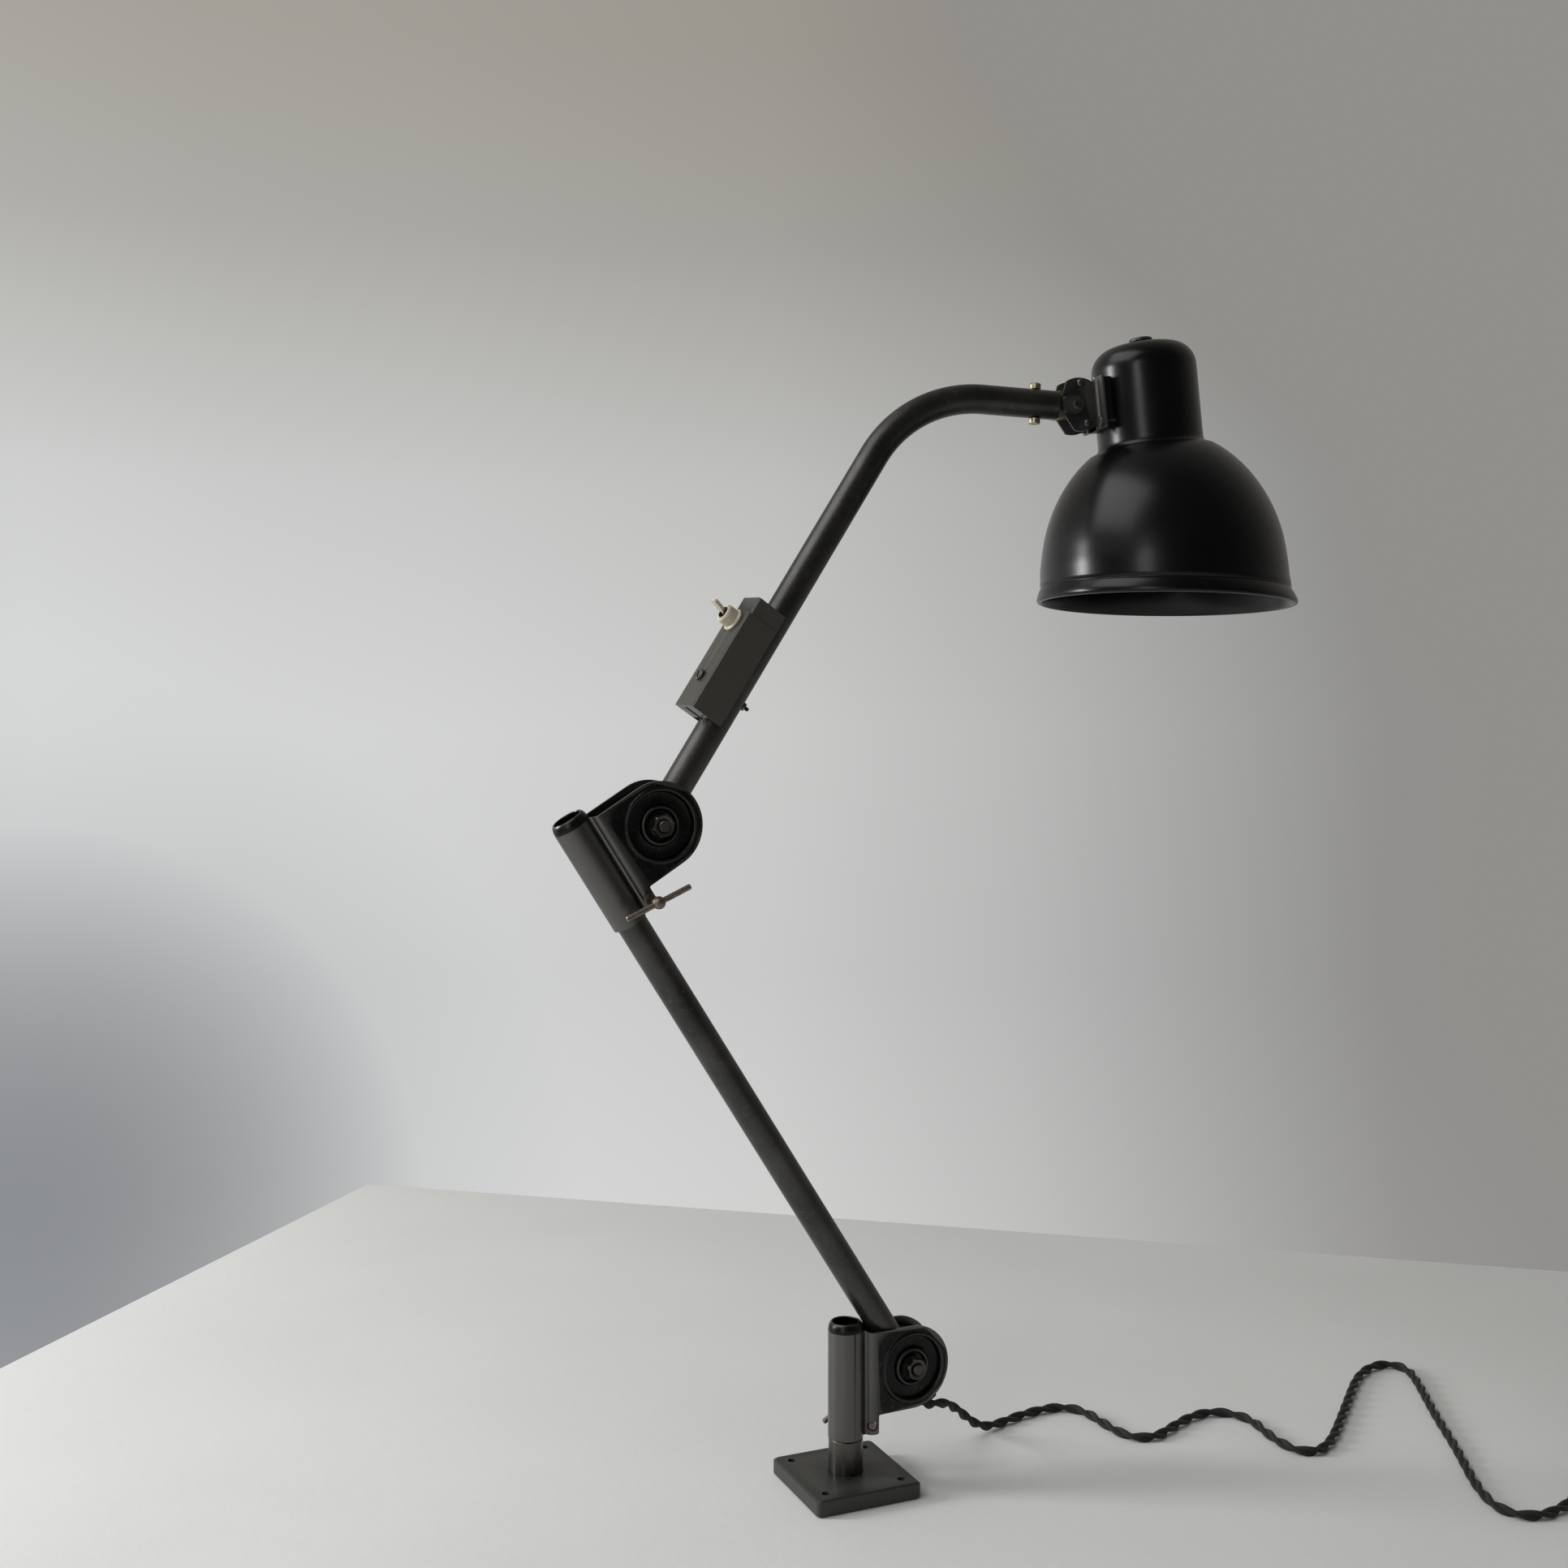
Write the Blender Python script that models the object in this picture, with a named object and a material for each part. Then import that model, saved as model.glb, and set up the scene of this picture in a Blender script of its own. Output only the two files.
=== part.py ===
"""Jointed workshop / architect desk lamp.

A steel base plate carries a short post.  A pressed clamp bracket grips the
post, a second identical bracket grips the top of the lower tube, and each
bracket holds a friction pivot for the next tube.  The upper tube bends over
and ends in a knuckle that carries a moulded shade with an off-square rim.

Metres, +Z up.  Origin: centre of the base plate's underside.
The +X edge of the plate is the side that the first bracket points to.
"""
import math
import bpy
import bmesh
from mathutils import Matrix, Vector

MM = 0.001
GAP = 0.3                     # air between touching pieces

# ---- base -----------------------------------------------------------------
PLATE = 80.0                  # square plate, side
PLATE_T = 11.7                # plate thickness
PLATE_HOLE = 58.6             # spacing of the four fixing holes
PLATE_HOLE_R = 2.9
POST_RECESS = 5.0             # how deep the post sits in the plate
COLLAR_R = 12.3
SPIGOT_R = 10.42              # post spigot, same size as the tubes
# ---- pressed bracket (both joints) ------------------------------------------
PIVOT_Z = 81.2                # lower pivot above the table
PIVOT_X = 48.66               # pivot from the sleeve axis
SLEEVE_R = 12.7
SHEET = 1.95
SLEEVE_DOWN = 45.0            # sleeve below the pivot level
SLEEVE_UP = 31.0              # sleeve above the pivot level, before its rolled rim
CHEEK_Y = 12.7                # outer face of a cheek
CHEEK_R = 29.6
LUG_X = 20.2                  # end of the clamping ears
CLAMP_X, CLAMP_Z = 15.4, -37.0
# ---- arms ------------------------------------------------------------------
TUBE_R = 10.42
TUBE_BORE = 8.9
TUBE_START = 26.5             # tube end from the pivot
LOWER_LEN = 438.0             # lower pivot to the upper bracket's pivot level
STRAIGHT = 304.2              # upper pivot to the start of the bend
BEND_R = 96.1
BEND_DEG = 59.23
END_LEN = 56.9
# ---- pose at rest ------------------------------------------------------------
SWIVEL_BASE = 3.66            # degrees about the post
LEAN_LOWER = -32.80           # lower tube leans back over its sleeve
SWIVEL_TOP = -2.43            # about the lower tube
LEAN_UPPER = 65.06            # upper tube against the lower one
BEND_TURN = -11.36            # bend plane turned about the upper tube
KNUCKLE_X = 12.2              # pin beyond the tube's end
HEAD_YAW = -8.10              # knuckle plane about +Z
SHADE_LEAN = -6.21            # shade axis from the vertical
# ---- shade -------------------------------------------------------------------
PIN_S, PIN_T = -61.35, 150.0  # pin seen from the centre of the rim
RIM_SKEW = 7.54               # rim plane against the shade's own axis
SHADE_WALL = 3.5
NECK_R = 38.2
NECK_FOOT, NECK_SHOULDER, CROWN = 117.5, 173.0, 194.4
DOME_A, DOME_B, DOME_C = 89.8, 109.8, 19.0
# ---- cord --------------------------------------------------------------------
CORD_R = 3.5
COIL_C = (510.9, -255.2)
COIL_IN, COIL_OUT, COIL_H = 30.8, 45.3, 14.1

for ob in list(bpy.data.objects):
    bpy.data.objects.remove(ob, do_unlink=True)
scene = bpy.context.scene
ROOT = scene.collection


# ---- materials ------------------------------------------------------------------
def material(name, colour, rough, metal):
    m = bpy.data.materials.new(name)
    m.use_nodes = True
    b = m.node_tree.nodes["Principled BSDF"]
    b.inputs["Base Color"].default_value = (*colour, 1.0)
    b.inputs["Roughness"].default_value = rough
    b.inputs["Metallic"].default_value = metal
    m.diffuse_color = (*colour, 1.0)
    return m


# ---- frames ---------------------------------------------------------------------
def frame(name, parent, place):
    e = bpy.data.objects.new(name, None)
    e.empty_display_size = 0.01
    ROOT.objects.link(e)
    e.parent = parent
    e.matrix_local = place
    return e


def shift(x, y, z):
    return Matrix.Translation((x * MM, y * MM, z * MM))


def turn(deg, axis):
    return Matrix.Rotation(math.radians(deg), 4, axis)


ALONG = {"Z": Matrix.Identity(4), "-Z": turn(180, "X"),
         "X": turn(90, "Y"), "-X": turn(-90, "Y"),
         "Y": turn(-90, "X"), "-Y": turn(90, "X")}


# ---- shapes (all in millimetres) ---------------------------------------------------
def finish_mesh(name, bm, mat, parent, at=None, smooth=38.0, cutter=False):
    bmesh.ops.recalc_face_normals(bm, faces=bm.faces)
    bm.transform(Matrix.Scale(MM, 4))
    if at is not None:
        bm.transform(at)
    me = bpy.data.meshes.new(name)
    bm.to_mesh(me)
    bm.free()
    ob = bpy.data.objects.new(name, me)
    ROOT.objects.link(ob)
    ob.parent = parent
    if cutter:
        ob.hide_render = True
        ob.display_type = "WIRE"
    else:
        me.materials.append(mat)
        me.shade_smooth()
        me.set_sharp_from_angle(angle=math.radians(smooth))
    return ob


def rings_to_faces(bm, rings, closed):
    pairs = list(zip(rings, rings[1:]))
    if closed:
        pairs.append((rings[-1], rings[0]))
    for a, b in pairs:
        n = max(len(a), len(b))
        if n == 1:                          # both on the axis: the two skins of a shell
            continue
        for i in range(n):
            j = (i + 1) % n
            if len(a) == 1:
                bm.faces.new((a[0], b[i], b[j]))
            elif len(b) == 1:
                bm.faces.new((a[i], b[0], a[j]))
            else:
                bm.faces.new((a[i], b[i], b[j], a[j]))
    if not closed:
        for end in (rings[0], rings[-1]):
            if len(end) > 2:
                bm.faces.new(end)


def turned(profile, seg, closed=False, move=None):
    """Lathe about Z: profile of (radius, height); closed for a hollow ring."""
    bm = bmesh.new()
    rings = []
    for r, z in profile:
        if r < 1e-6:
            rings.append([bm.verts.new((0.0, 0.0, z))])
            continue
        ring = []
        for k in range(seg):
            a = 2 * math.pi * (k + 0.5) / seg
            p = Vector((r * math.cos(a), r * math.sin(a), z))
            ring.append(bm.verts.new(move(p) if move else p))
        rings.append(ring)
    rings_to_faces(bm, rings, closed)
    return bm


def rod(r, a, b, seg=16, bevel=0.0):
    if bevel:
        return turned([(r - bevel, a), (r, a + bevel), (r, b - bevel), (r - bevel, b)], seg)
    return turned([(r, a), (r, b)], seg)


def prism(outline, a, b):
    """Extrude an (x, y) outline from height a to height b."""
    bm = bmesh.new()
    lo = [bm.verts.new((x, y, a)) for x, y in outline]
    hi = [bm.verts.new((x, y, b)) for x, y in outline]
    n = len(outline)
    bm.faces.new(lo)
    bm.faces.new(hi)
    for i in range(n):
        j = (i + 1) % n
        bm.faces.new((lo[i], lo[j], hi[j], hi[i]))
    return bm


def block(x0, x1, y0, y1, z0, z1):
    return prism([(x0, y0), (x1, y0), (x1, y1), (x0, y1)], z0, z1)


def rounded(x0, x1, y0, y1, r, n=4):
    pts = []
    for cx, cy, a0 in ((x1 - r, y1 - r, 0), (x0 + r, y1 - r, 90), (x0 + r, y0 + r, 180), (x1 - r, y0 + r, 270)):
        for k in range(n + 1):
            a = math.radians(a0 + 90.0 * k / n)
            pts.append((cx + r * math.cos(a), cy + r * math.sin(a)))
    return pts


def arc(cx, cy, r, a0, a1, n):
    return [(cx + r * math.cos(math.radians(a0 + (a1 - a0) * k / n)),
             cy + r * math.sin(math.radians(a0 + (a1 - a0) * k / n))) for k in range(n + 1)]


def hexagon(across, hole, a, b, sides=6, chamfer=0.6):
    """Nut: a hexagon (or square) with a round hole right through, one closed body."""
    rc = across / 2 / math.cos(math.pi / sides)
    seg = 24
    bm = bmesh.new()

    def corner(k, r, z):
        ang = 2 * math.pi * (k + 0.5) / seg
        step = 2 * math.pi / sides
        off = (ang + step / 2) % step - step / 2
        rr = min(r, across / 2 / math.cos(off))
        return bm.verts.new((rr * math.cos(ang), rr * math.sin(ang), z))
    loops = []
    for r, z in ((rc - chamfer * 1.2, a), (rc, a + chamfer), (rc, b - chamfer), (rc - chamfer * 1.2, b)):
        loops.append([corner(k, r, z) for k in range(seg)])
    for z in (b, a):
        loops.append([bm.verts.new((hole * math.cos(2 * math.pi * (k + 0.5) / seg),
                                    hole * math.sin(2 * math.pi * (k + 0.5) / seg), z)) for k in range(seg)])
    rings_to_faces(bm, loops, True)
    return bm


def joined(*parts):
    out = bmesh.new()
    for p in parts:
        me = bpy.data.meshes.new("tmp")
        p.to_mesh(me)
        p.free()
        out.from_mesh(me)
        bpy.data.meshes.remove(me)
    return out


def placed(bm, m):
    """Move a millimetre mesh by a matrix built with metres."""
    t = m.copy()
    t.translation = t.translation / MM
    bm.transform(t)
    return bm


def boolean(ob, tool, kind):
    mod = ob.modifiers.new(kind.lower() + "_" + tool.name, "BOOLEAN")
    mod.operation = kind
    mod.solver = "EXACT"
    mod.object = tool


def cut(ob, tool):
    boolean(ob, tool, "DIFFERENCE")


def add(ob, tool):
    boolean(ob, tool, "UNION")


def tool(name, bm, parent, at=None):
    return finish_mesh(name, bm, None, parent, at, cutter=True)


steel = (0.075, 0.070, 0.062)
MAT = {
    "base_plate": material("base_plate_paint", (0.055, 0.062, 0.055), 0.42, 0.35),
    "post": material("post_steel", (0.16, 0.15, 0.13), 0.38, 0.9),
    "bracket": material("bracket_steel", (0.11, 0.10, 0.088), 0.38, 0.9),
    "tube": material("tube_steel", (0.085, 0.078, 0.068), 0.34, 0.9),
    "fastener": material("fastener_steel", (0.10, 0.095, 0.085), 0.4, 0.95),
    "clamp": material("clamp_steel", (0.17, 0.12, 0.085), 0.42, 0.9),
    "hub": material("hub_casting", (0.05, 0.048, 0.045), 0.5, 0.8),
    "fibre": material("friction_fibre", (0.20, 0.08, 0.04), 0.8, 0.0),
    "box": material("switch_box_paint", (0.05, 0.05, 0.052), 0.4, 0.4),
    "cream": material("switch_cream", (0.62, 0.57, 0.42), 0.45, 0.0),
    "brass": material("brass_screw", (0.42, 0.34, 0.20), 0.35, 1.0),
    "tongue": material("tongue_brass", (0.36, 0.33, 0.18), 0.5, 0.8),
    "knuckle": material("knuckle_steel", (0.07, 0.07, 0.07), 0.33, 0.85),
    "shade": material("shade_bakelite", (0.018, 0.017, 0.018), 0.16, 0.0),
    "black": material("black_bakelite", (0.02, 0.018, 0.018), 0.3, 0.0),
    "glass": material("bulb_glass", (0.85, 0.84, 0.80), 0.25, 0.0),
    "cap": material("bulb_cap_metal", (0.55, 0.52, 0.46), 0.35, 1.0),
    "cord": material("cord_textile", (0.02, 0.02, 0.022), 0.85, 0.0),
    "rubber": material("bush_rubber", (0.015, 0.015, 0.015), 0.8, 0.0),
    "pin": material("plug_pin_brass", (0.60, 0.48, 0.24), 0.3, 1.0),
}


# =====================================================================================
# Base
# =====================================================================================
base = frame("base_frame", None, Matrix.Identity(4))

half = PLATE / 2
plate = bmesh.new()
levels = ((half - 1.4, 0.0), (half, 1.2), (half, PLATE_T - 1.2), (half - 1.4, PLATE_T))
loops = [[plate.verts.new((x, y, z)) for x, y in rounded(-s, s, -s, s, 3.0, 3)] for s, z in levels]
rings_to_faces(plate, loops, False)
plate_ob = finish_mesh("base_plate", plate, MAT["base_plate"], base)
cut(plate_ob, tool("cut_post_recess", rod(COLLAR_R + GAP, PLATE_T - POST_RECESS, 30, 32), base))
hole = PLATE_HOLE / 2
for n, (sx, sy) in enumerate(((1, 1), (-1, 1), (-1, -1), (1, -1))):
    cut(plate_ob, tool("cut_fixing_hole_%d" % n, rod(PLATE_HOLE_R, -5, 30, 16), base, shift(sx * hole, sy * hole, 0)))

finish_mesh("base_post", turned([
    (COLLAR_R - 0.8, PLATE_T - POST_RECESS + GAP), (COLLAR_R, PLATE_T - POST_RECESS + 1.1), (COLLAR_R, 34.9),
    (COLLAR_R - 0.7, 35.8), (SPIGOT_R, 35.8), (SPIGOT_R, PIVOT_Z + 27.5), (9.6, PIVOT_Z + 30.2),
    (6.4, PIVOT_Z + 31.6), (5.2, PIVOT_Z + 32.4), (0, PIVOT_Z + 32.9)], 32), MAT["post"], base)


# =====================================================================================
# Pressed bracket with its friction pivot: one function, used for both joints.
# Local frame: Z up the sleeve, X towards the pivot, pivot axis along Y at (PIVOT_X, 0, 0)
# =====================================================================================
def bracket(prefix, parent):
    back = arc(0, 0, SLEEVE_R, -42, -318, 30)              # outside of the sleeve, front to back
    inner = arc(0, 0, SLEEVE_R - SHEET, -322, -38, 28)     # inside of the sleeve, back to front
    neck = [(80, -12.7), (16.6, -12.7), (14.6, -12.1), (13.1, -10.7), (12.1, -9.3), (10.9, -8.5)]
    neck_in = [(10.3, -6.35), (12.2, -6.6), (13.7, -7.7), (14.8, -9.2), (15.8, -10.35), (17.2, -10.75), (80, -10.75)]
    outline = (neck + back + [(x, -y) for x, y in reversed(neck)]
               + [(x, -y) for x, y in reversed(neck_in)] + inner + neck_in)
    body = finish_mesh(prefix + "_bracket", prism(outline, -60, 60), MAT["bracket"], parent)
    # side view: sleeve, ears and round cheeks
    side = ([(-30, -SLEEVE_DOWN), (8.6, -SLEEVE_DOWN), (9.6, -43.2), (LUG_X - 1, -43.2), (LUG_X, -42.2),
             (LUG_X, -30.4), (LUG_X + 0.8, -CHEEK_R), (PIVOT_X, -CHEEK_R)]
            + arc(PIVOT_X, 0, CHEEK_R, -82.5, 82.5, 22)
            + [(PIVOT_X, CHEEK_R), (15.5, CHEEK_R), (12.5, 30.2), (11.0, SLEEVE_UP), (-30, SLEEVE_UP)])
    boolean(body, tool("keep_%s_side" % prefix, prism(side, -40, 40), parent, turn(90, "X")), "INTERSECT")
    pivot_hole = turned([(25.3, -40), (25.3, 40)], 28)
    cut(body, tool("cut_%s_cheeks" % prefix, pivot_hole, parent, shift(PIVOT_X, 0, 0) @ ALONG["Y"]))
    # embossed dish: raised bead, sunk ring, inner collar and bolt hole
    dish = [(26.3, 12.35), (25.1, 13.6), (23.7, 14.0), (22.8, 12.7), (22.4, 9.2), (14.1, 9.2), (13.2, 11.9),
            (11.9, 12.6), (10.7, 11.4), (10.2, 9.2), (4.35, 9.2), (4.35, 7.3), (23.3, 7.3), (24.2, 11.1), (26.3, 11.1)]
    for side_name, d in (("front", "-Y"), ("rear", "Y")):
        add(body, tool("add_%s_dish_%s" % (prefix, side_name), turned(dish, 24, True), parent,
                       shift(PIVOT_X, 0, 0) @ ALONG[d]))
    # rolled rim on top of the sleeve
    rim = [(12.58, 29.6), (12.64, 31.4), (12.3, 33.6), (11.5, 36.0), (10.5, 37.4), (9.7, 37.3), (9.6, 36.4),
           (10.5, 34.6), (10.92, 32.6), (10.92, 29.6)]
    add(body, tool("add_%s_rim" % prefix, turned(rim, 32, True), parent))
    cut(body, tool("cut_%s_clamp" % prefix, rod(3.35, -40, 40, 16), parent, shift(CLAMP_X, 0, CLAMP_Z) @ ALONG["Y"]))

    at = shift(PIVOT_X, 0, 0)
    front, rear = at @ ALONG["-Y"], at @ ALONG["Y"]
    # pivot bolt: hexagon head at the back, end showing in front
    head = turned([(0, 15.2), (5.6, 15.2), (7.0, 14.4), (7.0, 9.5), (4.0, 9.5), (4.0, -19.4), (3.2, -20.3), (0, -20.3)], 24)
    for v in head.verts:
        if 6.9 < math.hypot(v.co.x, v.co.y) < 7.1:
            ang = math.atan2(v.co.y, v.co.x)
            off = (ang + math.pi / 6) % (math.pi / 3) - math.pi / 6
            r = 7.0 / math.cos(off)
            v.co.x, v.co.y = r * math.cos(ang), r * math.sin(ang)
    finish_mesh(prefix + "_pivot_bolt", head, MAT["fastener"], parent, rear)
    finish_mesh(prefix + "_pivot_nut", hexagon(14.0, 4.3, 12.0, 18.6), MAT["fastener"], parent, front @ turn(12, "Z"))
    finish_mesh(prefix + "_spring_washer", turned([(4.4, 9.5), (7.4, 9.5), (7.4, 11.7), (4.4, 11.7)], 24, True),
                MAT["fastener"], parent, front)
    for side_name, m in (("front", front), ("rear", rear)):
        finish_mesh("%s_friction_disc_%s" % (prefix, side_name),
                    turned([(4.4, 5.8), (19.5, 5.8), (19.5, 7.0), (4.4, 7.0)], 24, True), MAT["fibre"], parent, m)


def clamp(prefix, parent, side, bar_deg, bar_shift):
    """Clamping screw across the ears, with a ball end and a sliding tommy bar."""
    m = ALONG["-Y" if side < 0 else "Y"]
    # square nut held between the ears, on the far side from the handle
    nut = hexagon(9.0, 3.35, -6.1, -1.1, sides=4, chamfer=0.4)
    finish_mesh(prefix + "_clamp_nut", nut, MAT["fastener"], parent.parent, shift(CLAMP_X, 0, CLAMP_Z) @ m)
    shaft = turned([(0, -11.6), (2.5, -11.6), (3.0, -11.0), (3.0, 12.9 + GAP), (4.6, 12.9 + GAP), (4.6, 14.4), (3.1, 15.0),
                    (3.1, 26.2), (4.0, 28.0), (4.35, 30.2), (3.9, 32.6), (2.5, 34.2), (0, 34.8)], 20)
    screw = finish_mesh(prefix + "_clamp_screw", shaft, MAT["clamp"], parent, m)
    bar_m = shift(0, side * 30.2, 0) @ turn(-bar_deg, "Y")
    cut(screw, tool("cut_%s_bar" % prefix, rod(2.25, -10, 10, 16), parent, bar_m @ ALONG["X"]))
    finish_mesh(prefix + "_clamp_bar", rod(1.95, bar_shift - 24.2, bar_shift + 24.2, 14, 0.5), MAT["clamp"], parent,
                bar_m @ ALONG["X"])


def hub(name, parent):
    """Drum between the cheeks, with a spigot that fills the tube's lower end."""
    drum = finish_mesh(name, turned([(4.35, -5.5), (19.2, -5.5), (20.0, -4.7), (20.0, 4.7), (19.2, 5.5), (4.35, 5.5)],
                                    28, True), MAT["hub"], parent, ALONG["Y"])
    web = block(-8.4, 8.4, -5.3, 5.3, 12.0, TUBE_START - GAP)
    add(drum, tool("add_%s_web" % name, web, parent))
    spigot = rod(TUBE_BORE - GAP, TUBE_START - 2.5, TUBE_START + 22, 24, 0.8)
    add(drum, tool("add_%s_spigot" % name, spigot, parent))


# ---- lower joint ---------------------------------------------------------------------
low_br = frame("lower_bracket_frame", base, turn(SWIVEL_BASE, "Z") @ shift(0, 0, PIVOT_Z))
bracket("lower", low_br)
low_screw = frame("lower_clamp_frame", low_br, shift(CLAMP_X, 0, CLAMP_Z))
clamp("lower", low_screw, +1, 27.5, 5.0)

low_arm = frame("lower_arm_frame", low_br, shift(PIVOT_X, 0, 0) @ turn(LEAN_LOWER, "Y"))
hub("lower_hub", low_arm)
top = LOWER_LEN + SLEEVE_UP - 3.0
finish_mesh("lower_tube", turned([(TUBE_BORE, TUBE_START), (TUBE_R, TUBE_START), (TUBE_R, top), (TUBE_R - 0.6, top + 0.6),
                                  (TUBE_BORE, top + 0.6)], 24, True), MAT["tube"], low_arm)
finish_mesh("lower_tube_cap", turned([(0, top - 8), (TUBE_BORE - GAP, top - 8), (TUBE_BORE - GAP, top + 1.6),
                                      (7.4, top + 2.8), (5.2, top + 3.8), (0, top + 4.6)], 24), MAT["post"], low_arm)

# ---- upper joint ---------------------------------------------------------------------
up_br = frame("upper_bracket_frame", low_arm, shift(0, 0, LOWER_LEN) @ turn(SWIVEL_TOP, "Z"))
bracket("upper", up_br)
up_screw = frame("upper_clamp_frame", up_br, shift(CLAMP_X, 0, CLAMP_Z))
clamp("upper", up_screw, -1, -8.2, 0.0)

up_arm = frame("upper_arm_frame", up_br, shift(PIVOT_X, 0, 0) @ turn(LEAN_UPPER, "Y"))
hub("upper_hub", up_arm)


# ---- upper tube: straight, bend, straight -----------------------------------------------
def tube_path():
    out = [(Vector((0, 0, TUBE_START)), Vector((0, 0, 1))), (Vector((0, 0, STRAIGHT)), Vector((0, 0, 1)))]
    side = Vector((math.cos(math.radians(BEND_TURN)), math.sin(math.radians(BEND_TURN)), 0))
    centre = Vector((0, 0, STRAIGHT)) + side * BEND_R
    steps = 10
    for k in range(1, steps + 1):
        a = math.radians(BEND_DEG * k / steps)
        out.append((centre - side * BEND_R * math.cos(a) + Vector((0, 0, BEND_R * math.sin(a))),
                    Vector((0, 0, math.cos(a))) + side * math.sin(a)))
    p, d = out[-1]
    out.append((p + d * END_LEN, d))
    return out, side


path, bend_side = tube_path()
seg = 20
tube = bmesh.new()
across = bend_side.cross(Vector((0, 0, 1))).normalized()
outer, bore = [], []
stations = path[:-1] + [(path[-1][0] - path[-1][1] * 1.3, path[-1][1]), path[-1]]
for n, (p, d) in enumerate(stations):
    up = d.cross(across).normalized()
    for rings, r in ((outer, TUBE_R - (0.8 if n == len(stations) - 1 else 0.0)), (bore, TUBE_BORE)):
        rings.append([tube.verts.new(p + across * r * math.cos(2 * math.pi * k / seg) + up * r * math.sin(2 * math.pi * k / seg))
                      for k in range(seg)])
rings_to_faces(tube, outer + bore[::-1], True)
tube_ob = finish_mesh("upper_tube", tube, MAT["tube"], up_arm)
BOX_TURN = 5.0                # switch box turned about the tube
cut(tube_ob, tool("cut_box_screw", rod(1.7, -30, 30, 12), up_arm, turn(BOX_TURN, "Z") @ shift(0, 0, 101.5) @ ALONG["X"]))

# end frame: Z along the tube's end, Y along the knuckle's pin, X down, origin at the tube's end
end_p, end_d = path[-1]
bpy.context.view_layer.update()
side_v = up_arm.matrix_world.to_3x3().inverted() @ turn(HEAD_YAW, "Z").to_3x3() @ Vector((0, 1, 0))
side_v = (side_v - end_d * side_v.dot(end_d)).normalized()
down = side_v.cross(end_d)
end_m = Matrix(((down.x, side_v.x, end_d.x, end_p.x * MM), (down.y, side_v.y, end_d.y, end_p.y * MM),
                (down.z, side_v.z, end_d.z, end_p.z * MM), (0, 0, 0, 1)))
tube_end = frame("tube_end_frame", up_arm, end_m)

# ---- switch box ---------------------------------------------------------------------------
sw = frame("switch_frame", up_arm, turn(BOX_TURN, "Z"))   # box stands off towards -X
SADDLE_Y, COVER_Y = 12.0, 13.4
u_outer = [(0, -SADDLE_Y), (0, -10.9), (-22.6, -10.9), (-23.0, -10.5), (-23.0, 10.5), (-22.6, 10.9), (0, 10.9), (0, SADDLE_Y),
           (-23.2, SADDLE_Y), (-24.3, 10.9), (-24.3, -10.9), (-23.2, -SADDLE_Y)]
saddle = finish_mesh("switch_saddle", prism(u_outer, 79.4, 166.6), MAT["box"], sw)
cut(saddle, tool("cut_saddle_window", block(-40, -9.0, -9.5, 9.5, 93, 155), sw))
cover_outline = [(-1.0, -COVER_Y), (-1.0, -12.3), (-25.0, -12.3), (-25.4, -11.9), (-25.4, 11.9), (-25.0, 12.3), (-1.0, 12.3),
                 (-1.0, COVER_Y), (-25.6, COVER_Y), (-26.8, 12.2), (-26.8, -12.2), (-25.6, -COVER_Y)]
cover = finish_mesh("switch_cover", prism(cover_outline, 77.8, 153.6), MAT["box"], sw)
end_wall = prism([(-10.9, -12.9), (-10.9, 12.9), (-26.0, 12.9), (-26.0, -12.9)], 77.8, 79.0)
add(cover, tool("add_cover_end", end_wall, sw))
cut(cover, tool("cut_toggle_bore", rod(4.3, -40, -20, 20), sw, shift(0, 0, 146.0) @ ALONG["X"]))
cut(cover, tool("cut_cover_screw", rod(1.7, -40, -20, 12), sw, shift(0, 0, 101.5) @ ALONG["X"]))
cut(cover, tool("cut_end_notch", block(-24.0, -9.0, -1.5, 2.5, 70, 79.3), sw))
# toggle switch: body inside the box, threaded neck out through the cover
t_body = finish_mesh("switch_body", block(-25.1, -11.2, -7.5, 7.5, 138.6, 153.2), MAT["black"], sw)
t_neck = rod(4.0, 24.5, 37.4, 20)
add(t_body, tool("add_toggle_neck", t_neck, sw, shift(0, 0, 146.0) @ ALONG["-X"]))
cut(t_body, tool("cut_toggle_slot", block(-45, -31.5, -2.6, 2.6, 142.6, 149.4), sw))
cream = finish_mesh("switch_nut", turned([(4.3, 27.1), (8.3, 27.1), (8.3, 28.2), (7.2, 29.0), (6.9, 29.0), (6.9, 35.6), (6.2, 36.6),
                                          (4.3, 36.6)], 24, True), MAT["cream"], sw, shift(0, 0, 146.0) @ ALONG["-X"])
lever_f = frame("switch_lever_frame", sw, shift(-33.2, 0, 146.0) @ turn(11.0, "Y"))
lever_out = [(0.2, -1.0), (0.2, 1.0), (-3.6, 1.3), (-6.5, 2.9), (-13.4, 3.2), (-14.4, 2.4), (-14.4, -2.4), (-13.4, -3.2),
             (-6.5, -2.9), (-3.6, -1.3)]
finish_mesh("switch_lever", prism(lever_out, -1.2, 1.2), MAT["cream"], lever_f)
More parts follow.
